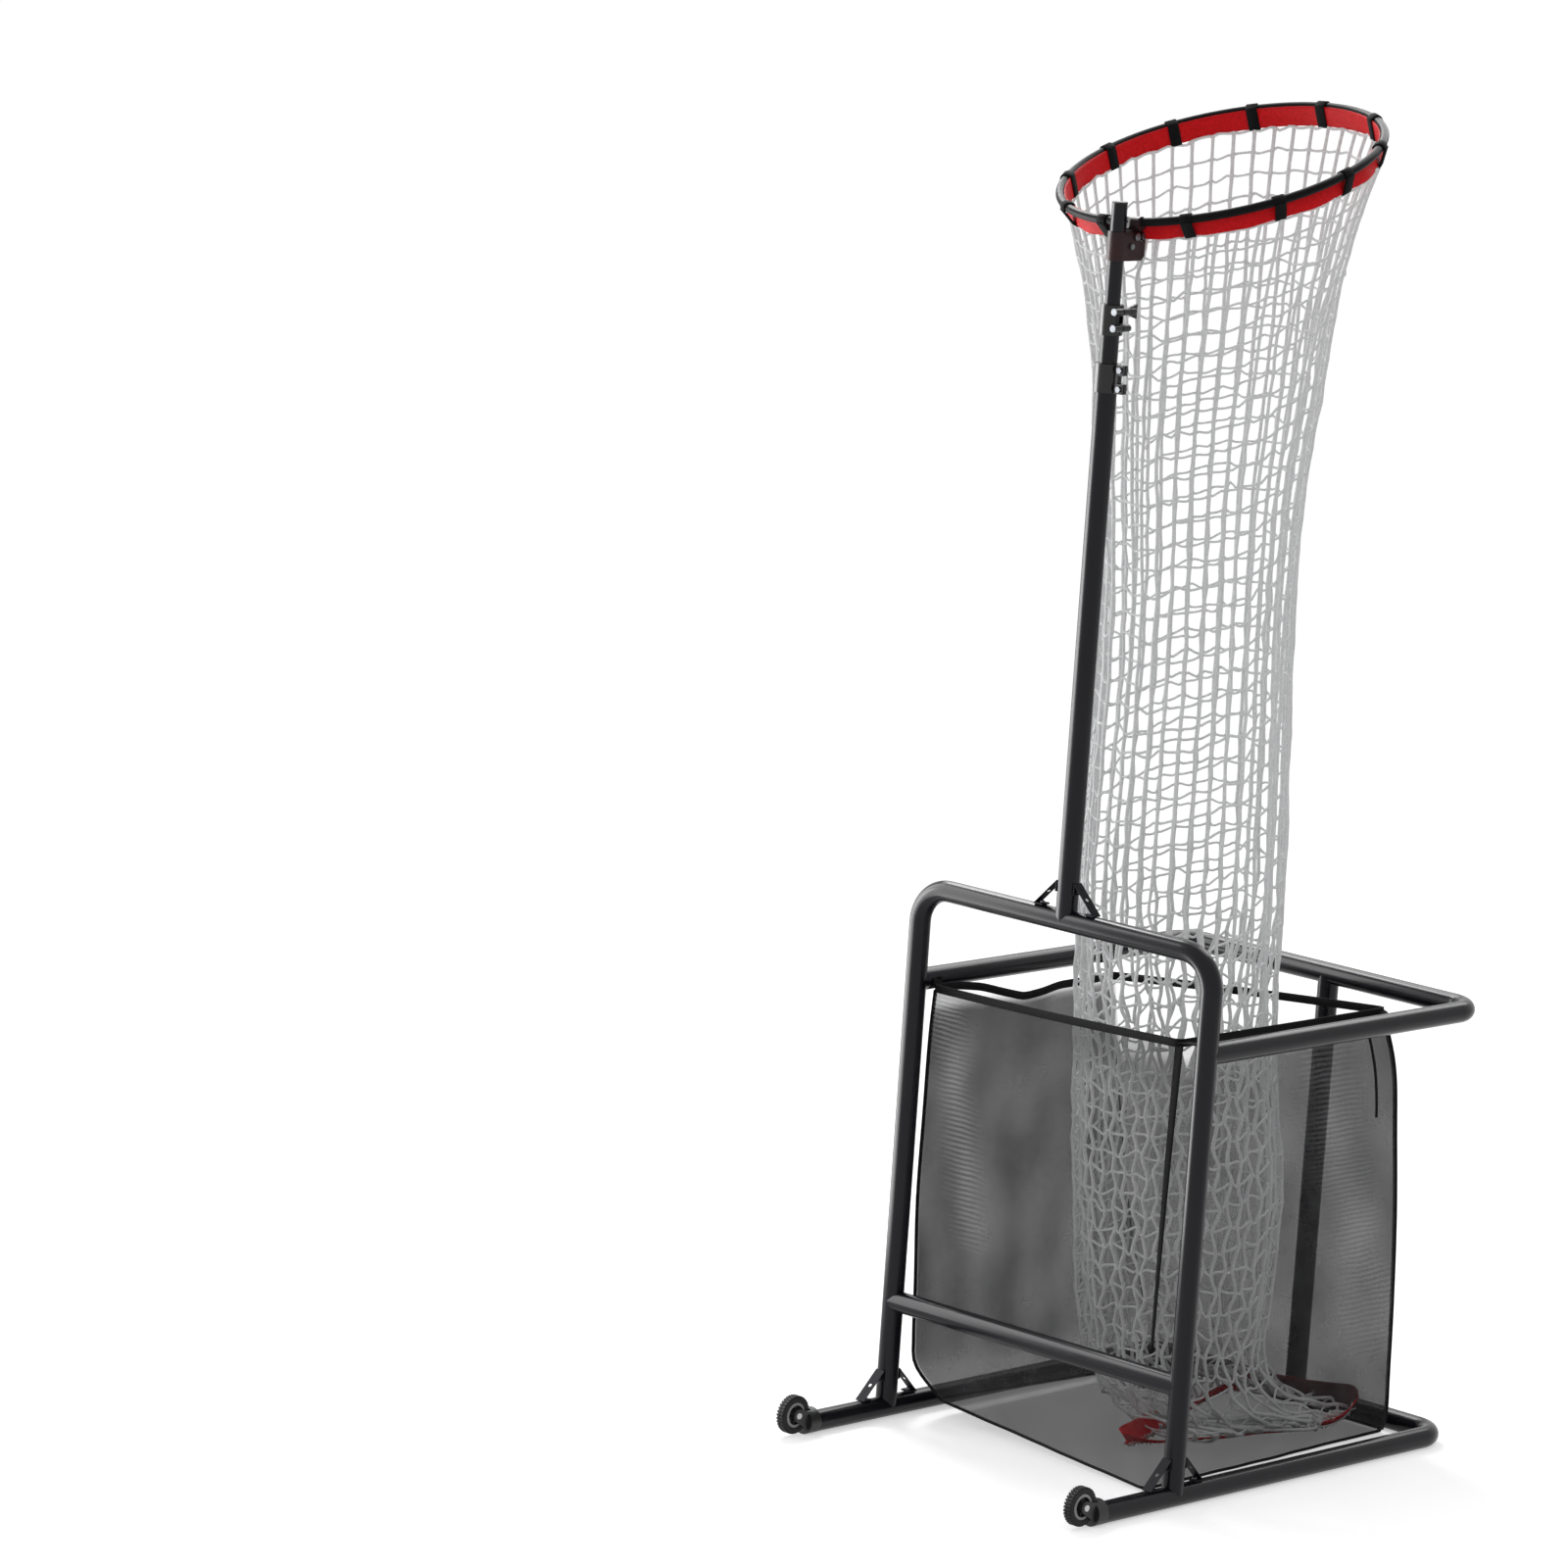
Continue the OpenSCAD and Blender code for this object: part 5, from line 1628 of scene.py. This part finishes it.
@dataclass
class CatchBag:
    """The mesh bag that hangs in the stand, with its bindings and ties."""

    # corners front left, front right, back right, back left, at each height
    levels: tuple[tuple[tuple[float, float, float], ...], ...] = (
        ((-316, 22, 778), (256, 24, 792), (307, 516, 806), (-312, 492, 752)),
        ((-322, 23, 690), (252, 25, 690), (302, 566, 700), (-314, 508, 680)),
        ((-323, 23, 560), (249, 25, 560), (300, 588, 570), (-313, 535, 560)),
        ((-325, 24, 400), (247, 25, 400), (299, 608, 420), (-311, 570, 400)),
        ((-316, 24, 250), (246, 25, 250), (296, 624, 260), (-308, 606, 250)),
        ((-312, 25, 150), (247, 25, 130), (288, 640, 130), (-304, 645, 135)),
        ((-308, 32, 96), (250, 25, 55), (270, 666, 50), (-300, 676, 60)),
        ((-292, 86, 30), (255, 24, 7), (238, 698, 7), (-288, 698, 8)),
    )  # fmt: skip
    # how far the left rim hangs below the line between its ties, from the back to the front
    left_rim: tuple[tuple[float, float], ...] = (
        (0, 0), (0.1, -5), (0.3, -10), (0.4, -20), (0.5, -26), (0.6, -17), (0.74, -3), (0.87, 2), (1, 0),
    )  # fmt: skip
    across_cells: int = 40
    floor_z: float = 3.6
    floor_wave: float = 1.6
    tape_thick: float = 1.6
    # for the front, right, back and left panels: how far the rim droops and sways inwards, and
    # how far the panel bellies out
    droops: tuple[float, ...] = (-4, -3, 4, 0)
    sways: tuple[float, ...] = (-5, -7, -10, -6)
    bellies: tuple[float, ...] = (3, 9, 5, 3)
    # how much the cloth hides, from 0 to 1: a base value, and what is added near the front's top and low
    # on the back and left
    front_cover: tuple[float, float] = (0.33, 0.3)
    right_cover: float = 0.34
    back_cover: tuple[float, float] = (0.12, 0.77)
    left_cover: tuple[float, float] = (0.14, 0.79)
    left_foot_cover: float = -0.08
    floor_cover: float = 0.7
    cover_drift: float = 0.06

    def shell(self) -> np.ndarray:
        """Returns the walls' points, one line per height and a column per place round the bag.

        Returns:
            Points in millimetres.
        """
        corners = np.array(self.levels)
        lines = np.stack([spline(corners[:, k], 6) for k in range(4)], axis=1)
        rows = len(lines)
        n = self.across_cells
        t = np.arange(n) / n
        bow = np.sin(math.pi * t)
        out = []
        for j in range(rows):
            depth = j / (rows - 1)
            ring = []
            top = 1 - ease(np.array(depth / 0.35))
            for k in range(4):
                a, b = lines[j, k], lines[j, (k + 1) % 4]
                run = a[None, :] + (b - a)[None, :] * t[:, None]
                side = unit(np.cross(b - a, (0, 0, 1)))
                droop = self.droops[k] * top * bow
                if k == 3:
                    droop = top * np.interp(t, *np.array(self.left_rim).T)
                sway = self.sways[k] * top * bow
                belly = self.bellies[k] * math.sin(math.pi * min(1, depth * 1.05)) * bow
                run[:, 2] += droop
                ring.append(run + side[None, :] * (sway + belly)[:, None])
            out.append(np.concatenate(ring))
        return self.rippled(self.rounded(np.stack(out)))

    def rounded(self, whole: np.ndarray) -> np.ndarray:
        """Softens the upright corners a little, as cloth does at a seam."""
        return 0.25 * np.roll(whole, 1, 1) + 0.5 * whole + 0.25 * np.roll(whole, -1, 1)

    def rippled(self, whole: np.ndarray) -> np.ndarray:
        """Adds the slack cloth's ripples, strongest in the back half and near the floor.

        Args:
            whole: The walls' points.

        Returns:
            The rippled points.
        """
        made = whole.copy()
        rows, columns = made.shape[:2]
        n = self.across_cells
        outward = unit(np.cross(heading(whole, axis=1), (0, 0, 1)))
        for j in range(rows):
            fade = min(1.0, 2.6 * j / rows) * (1 - 0.4 * (j / rows))
            for i in range(columns):
                k, t = divmod(i, n)
                edge = math.sin(math.pi * t / n)
                p = whole[j, i]
                soft = noise.noise(Vector(p / 150)) * 5 + noise.noise(Vector(p / 55)) * 2.2
                pull = 0.0
                if k == 1:
                    pull = 1.6 * math.sin((p[2] + 0.8 * p[1]) / 15) * ease(np.array((p[1] - 250) / 200))
                made[j, i] += outward[j, i] * (soft * edge + pull * edge) * fade
        return made

    def wall_faces(self, walls: np.ndarray) -> tuple[list[tuple[int, ...]], list[tuple[float, ...]]]:
        """Returns the walls' faces and their UV pairs, in metres round and down the bag.

        Args:
            walls: The walls' points.

        Returns:
            Each face's corner numbers, and a pair for each corner.
        """
        rows, columns = walls.shape[:2]
        around = np.linalg.norm(np.roll(walls, -1, 1) - walls, axis=2).mean(0)
        fall = np.linalg.norm(np.diff(walls, axis=0), axis=2).mean(1)
        run, down = (np.concatenate([[0], np.cumsum(steps)]) / 1000 for steps in (around, fall))
        faces, uv = [], []
        for j in range(rows - 1):
            upper, lower = j * columns, (j + 1) * columns
            for i in range(columns):
                k = (i + 1) % columns
                faces.append((upper + i, upper + k, lower + k, lower + i))
                uv += [(run[i], down[j]), (run[i + 1], down[j])]
                uv += [(run[i + 1], down[j + 1]), (run[i], down[j + 1])]
        return faces, uv

    def floor(self, walls: np.ndarray) -> tuple[np.ndarray, np.ndarray]:
        """Stretches the floor between the four sides of the walls' lowest row.

        Args:
            walls: The walls' points.

        Returns:
            The floor's inner points, and the number of the point at each place of its grid,
            where the walls' points come first.
        """
        rows, columns = walls.shape[:2]
        n, low, base = self.across_cells, walls[-1], (rows - 1) * columns
        fl, fr, br, bl = low[0], low[n], low[2 * n], low[3 * n]
        index = np.full((n + 1, n + 1), -1)
        for t in range(n + 1):
            index[t, 0] = base + t % columns
            index[n, t] = base + (n + t) % columns
            index[n - t, n] = base + (2 * n + t) % columns
            index[0, n - t] = base + (3 * n + t) % columns
        inner = []
        for a in range(1, n):
            for b in range(1, n):
                s, t = a / n, b / n
                front, back = low[a], low[(3 * n - a) % columns]
                left, right = low[(4 * n - b) % columns], low[n + b]
                p = (
                    (1 - t) * front + t * back + (1 - s) * left + s * right
                    - ((1 - s) * (1 - t) * fl + s * (1 - t) * fr + s * t * br + (1 - s) * t * bl)
                )  # fmt: skip
                rest = ease(np.array(min(s, t, 1 - s, 1 - t) / 0.10))
                lying = self.floor_z + self.floor_wave * (1 + noise.noise(Vector(p / 70)))
                p[2] = p[2] * (1 - rest) + lying * rest
                index[a, b] = rows * columns + len(inner)
                inner.append(p)
        return np.array(inner), index

    def cloth(self) -> tuple[bpy.types.Object, np.ndarray]:
        """Makes the bag of walls and floor in one mesh and returns it with its walls' points.

        Returns:
            The bag and the walls' points.
        """
        walls = self.shell()
        inner, index = self.floor(walls)
        points = np.concatenate([walls.reshape(-1, 3), inner])
        faces, uv = self.wall_faces(walls)
        for a in range(self.across_cells):
            for b in range(self.across_cells):
                quad = (index[a, b], index[a, b + 1], index[a + 1, b + 1], index[a + 1, b])
                faces.append(tuple(int(q) for q in quad))
                uv += [(points[q][0] / 1000, points[q][1] / 1000) for q in quad]
        made = mesh_object("catch_bag_mesh", row(points), faces, np.array(uv))
        self.thicken(made, points, walls.shape[0] * walls.shape[1])
        with editing(made):
            bpy.ops.mesh.normals_make_consistent(inside=False)
        dress(made, "bag_mesh", "catch_bag")
        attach(made, Body.STAND.value)
        return made, walls

    def thicken(self, made: bpy.types.Object, points: np.ndarray, on_walls: int) -> None:
        """Stores how much the cloth hides at each point: more near the front panel's top, on the back
        below a slanting line and on the left below the rim.

        Args:
            made: The cloth.
            points: Its points in millimetres.
            on_walls: How many of them, from the first on, lie on the walls.
        """
        n = self.across_cells
        index = np.arange(len(points))
        place = index % (4 * n)
        panel = place // n
        x, _, z = points.T
        under_rim, foot = ease((758 - z) / 26), ease((120 - z) / 60)
        under_seam = ease((632 + 0.39 * np.maximum(x + 157, 0) - z) / 40)
        front = self.front_cover[0] + self.front_cover[1] * ease((z - 690) / 70)
        back = self.back_cover[0] + self.back_cover[1] * under_seam
        left = self.left_cover[0] + self.left_cover[1] * under_rim + self.left_foot_cover * foot
        cover = np.select([panel == 0, panel == 1, panel == 2], [front, self.right_cover, back], left)
        cover = cover + self.cover_drift * drift(points / (80, 80, 130))
        cover = np.where(index < on_walls, cover, self.floor_cover)
        self.ripples(made, points, panel, index < on_walls)
        layer = made.data.attributes.new("cover", "FLOAT", "POINT")
        layer.data.foreach_set("value", cover.astype(np.float32))

    def ripples(
        self, made: bpy.types.Object, points: np.ndarray, panel: np.ndarray, on_walls: np.ndarray
    ) -> None:
        """Stores where the cloth's threads beat into fine bands: one slanting sweep to a panel.

        Args:
            made: The cloth.
            points: Its points in millimetres.
            panel: The panel of each point.
            on_walls: Whether each point is on a wall.
        """
        x, y, z = points.T
        stray = drift(points / 70)
        front = (x + 292 - 0.27 * (760 - z) + 14 * stray) / 34
        front = np.exp(-(front**2)) * ease((z - 300) / 120) * (z < 770)
        right = (y - 430 + 0.35 * (z - 600) + 40 * stray) / 60
        right = np.exp(-(right**2)) * ease((z - 120) / 150)
        share = np.select([panel == 0, panel == 1], [front, 0.5 * right], 0)
        layer = made.data.attributes.new("ripple", "FLOAT", "POINT")
        layer.data.foreach_set("value", np.where(on_walls, share, 0).astype(np.float32))

    def edging(self, walls: np.ndarray) -> bpy.types.Object:
        """Makes the tapes that bind the rim, the upright seams and the floor's edge.

        Args:
            walls: The walls' points.

        Returns:
            The tapes.
        """
        n = self.across_cells
        rim = even(walls[0], 300, closed=True)
        parts = [tape("rim", rim + (0, 0, 3.5), (0, 0, 1), 14.5, 2.6, True)]
        widths = {0: (7, 6), 1: (18, 6), 2: (9, 7), 3: (7, 6)}
        for k, (top, low) in widths.items():
            line = walls[:, (k * n) % (4 * n)]
            line = even(line[line[:, 2] > 250] if k == 1 else line, 48)
            out = unit(line[:, :2] - walls[:, :, :2].mean(axis=(0, 1)))
            sideways = np.concatenate([out, np.zeros((len(line), 1))], axis=1)
            if k == 1:
                sideways = (1, 0, 0)
            parts.append(tape(f"seam_{k}", line, sideways, np.linspace(top, low, 48), self.tape_thick))
        low_line = even(walls[-1], 300, closed=True)
        parts.append(tape("floor_edge", low_line, (0, 0, 1), 5.5, 2.0, True))
        second = walls[:, 2 * n - 4]
        second = even(second[second[:, 2] > 600], 48)
        parts.append(tape("back_seam", second, (0.3, 1, 0), 5, self.tape_thick))
        made = dress(join("catch_bag_edging", parts), "bag_edging", "bag_binding")
        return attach(made, Body.STAND.value)

    def ties(self) -> bpy.types.Object:
        """Makes the four ties: webbing riveted to a rail's inner side, with a tab to the rim.

        Returns:
            The ties.
        """
        rail_z, rail_r, width = 795.0, 19.0, 20.0
        corners = self.levels[0]
        spots = ((-1, corners[0], 34), (1, corners[1], 34), (1, corners[2], 508), (-1, corners[3], 486))
        turns = np.radians(np.linspace(-80, 12, 24))
        parts = []
        for k, (side, corner, y) in enumerate(spots):
            r = rail_r + 1.0
            arc = np.stack(
                [side * (RAIL_X - r * np.cos(turns)), np.full(24, float(y)), rail_z + r * np.sin(turns)],
                axis=1,
            )
            end = np.array((corner[0] - side * 4, corner[1] + (8 if k < 2 else -10), corner[2] + 4))
            reach = spline(np.stack([arc[-3], (arc[-1] + end) / 2 + (0, 0, 1.5), end]), 8)
            path = even(np.concatenate([arc[:-3], reach]), 40)
            parts.append(tape(f"tie_{k}", path, (0, 1, 0), width, self.tape_thick))
            slope = Vector((-side, 0, -1)).normalized()
            deselect()
            bpy.ops.mesh.primitive_uv_sphere_add(segments=20, ring_count=10, radius=0.004)
            head = bpy.context.active_object
            with editing(head):
                bpy.ops.transform.resize(value=(1, 1, 0.4))
            head.rotation_mode = "QUATERNION"
            head.rotation_quaternion = slope.to_track_quat("Z", "Y")
            head.location = Vector(row((side * RAIL_X, y, rail_z))) + slope * (rail_r + 1.4) / 1000
            select_only(head)
            bpy.ops.object.transform_apply(location=True, rotation=True, scale=True)
            bpy.ops.object.shade_smooth()
            parts.append(head)
        made = dress(join("catch_bag_ties", parts), "strap_webbing", "bag_ties")
        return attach(made, Body.STAND.value)

    def build(self) -> None:
        """Makes the bag with its bindings and ties."""
        cloth, walls = self.cloth()
        self.edging(walls)
        self.ties()


# ---- Wheels ---------------------------------------------------------------------------------


@dataclass
class Wheel:
    """One transport wheel: a treaded tyre on a spoked hub with a pale ring."""

    side: int
    body: Body
    radius: float = 34.5
    width: float = 16.0
    hub_radius: float = 23.0
    y: float = -240.0
    z: float = 39.7
    tread_count: int = 34
    spokes: int = 6

    @property
    def middle(self) -> tuple[float, float, float]:
        """The axle's middle, in millimetres from the leg plane."""
        return (self.side * RAIL_X, self.y, self.z)

    @property
    def label(self) -> str:
        """The side's name."""
        return "left" if self.side < 0 else "right"

    def turn(self, part: str, profile: list[tuple[float, float]], steps: int = 96) -> bpy.types.Object:
        """Turns one part of the wheel about its axle, from pairs of place and radius."""
        return lathe(f"{self.label}_{part}", self.middle, profile, steps)

    def tyre(self) -> bpy.types.Object:
        """Turns the tyre's body and sets two staggered rows of tread blocks on it.

        Returns:
            The tyre.
        """
        w, r, h = self.width / 2, self.radius, self.hub_radius + 0.1
        carcass = self.turn(
            "carcass",
            [
                (-w + 1, h), (-w + 0.4, h + 2), (-w, r - 6.5), (-w + 0.5, r - 4), (-w + 2, r - 2.2),
                (-w + 3.4, r - 1.7), (0, r - 1.5), (w - 3.4, r - 1.7), (w - 2, r - 2.2),
                (w - 0.5, r - 4), (w, r - 6.5), (w - 0.4, h + 2), (w - 1, h),
            ],
        )  # fmt: skip
        parts = [carcass]
        centre = Vector(row(self.middle))
        for lane in (-1, 1):
            spot = centre + Vector((lane * w * 0.47 / 1000, 0, (r - 1.5) / 1000))
            first = block(f"tread_{lane}", spot, (w * 0.86, 4.1, 2.9), 0.5)
            shift = 0.0 if lane < 0 else math.pi / self.tread_count
            parts += turned_copies(first, centre, self.tread_count, shift)
        made = dress(join(f"{self.label}_treaded_tyre", parts), "tyre_rubber", f"{self.label}_tyre")
        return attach(made, self.body.value)

    def hub(self) -> bpy.types.Object:
        """Turns the hub's rim and boss and joins them with spokes.

        Returns:
            The hub.
        """
        w, h, boss = self.width / 2, self.hub_radius, 8.0
        rim = self.turn(
            "rim",
            [
                (-w + 1, h), (-w + 0.6, h - 1), (-w + 0.9, h - 2.6), (-3, h - 3.6), (3, h - 3.6),
                (w - 0.9, h - 2.6), (w - 0.6, h - 1), (w - 1, h),
            ],
        )  # fmt: skip
        core = self.turn(
            "boss",
            [
                (-w - 0.4, 4.1), (-w - 0.4, boss - 0.8), (-w + 0.2, boss), (-2, boss + 0.8),
                (2, boss + 0.8), (w - 0.2, boss), (w + 0.4, boss - 0.8), (w + 0.4, 4.1),
            ],
            64,
        )  # fmt: skip
        centre = Vector(row(self.middle))
        reach = h - 3.6 - boss + 1.6
        spot = centre + Vector((0, 0, (boss + reach / 2 - 0.4) / 1000))
        first = block(f"{self.label}_spoke", spot, (8.0, 4.6, reach + 1.0), 0.6)
        web = self.turn("web", [(-1.1, boss), (-1.1, h - 3), (1.1, h - 3), (1.1, boss)], 64)
        parts = [rim, core, web, *turned_copies(first, centre, self.spokes)]
        made = dress(join(f"{self.label}_spoked_hub", parts), "hub_plastic", f"{self.label}_hub")
        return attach(made, self.body.value)

    def ring(self) -> bpy.types.Object:
        """Turns the pale ring that covers each face of the hub's rim.

        Returns:
            Both rings.
        """
        w, h = self.width / 2, self.hub_radius
        parts = []
        for face in (-1, 1):
            profile = [
                (face * (w - 1.2), h - 0.6), (face * (w + 0.2), h - 1.2), (face * (w + 0.4), h - 2.4),
                (face * (w + 0.2), h - 5.2), (face * (w - 1.2), h - 5.6),
            ]  # fmt: skip
            parts.append(self.turn(f"ring_{face}", profile))
        made = join(f"{self.label}_rim_ring", parts)
        made.data.materials.clear()
        made.data.materials.append(RIM_RING.build())
        LOG.info("%s: %d faces", made.name, len(made.data.polygons))
        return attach(made, self.body.value)

    def build(self) -> None:
        """Makes the wheel."""
        self.tyre()
        self.hub()
        self.ring()


# ---- Carried-over nodes ---------------------------------------------------------------------


class Dressing:
    """Paints the CAD nodes that stay in view."""

    def build(self) -> None:
        """Gives each node the finish of its slot in the record."""
        slots = {part["node"]: part["material_slot"] for part in frame["record"]["subparts"]}
        for name, item in frame["nodes"].items():
            item.data.materials.clear()
            item.data.materials.append(FINISHES[slots[name]].build())
            LOG.info("%s is finished as %s", name, slots[name])


def main() -> None:
    """Builds the studio, then each sub-assembly."""
    logging.basicConfig(level=logging.INFO, format="%(message)s")
    Studio().build()
    Dressing().build()
    Chute().build()
    HoopDressing().build()
    CatchBag().build()
    Wheel(-1, Body.LEFT_WHEEL).build()
    Wheel(1, Body.RIGHT_WHEEL).build()


if __name__ == "__main__":
    main()
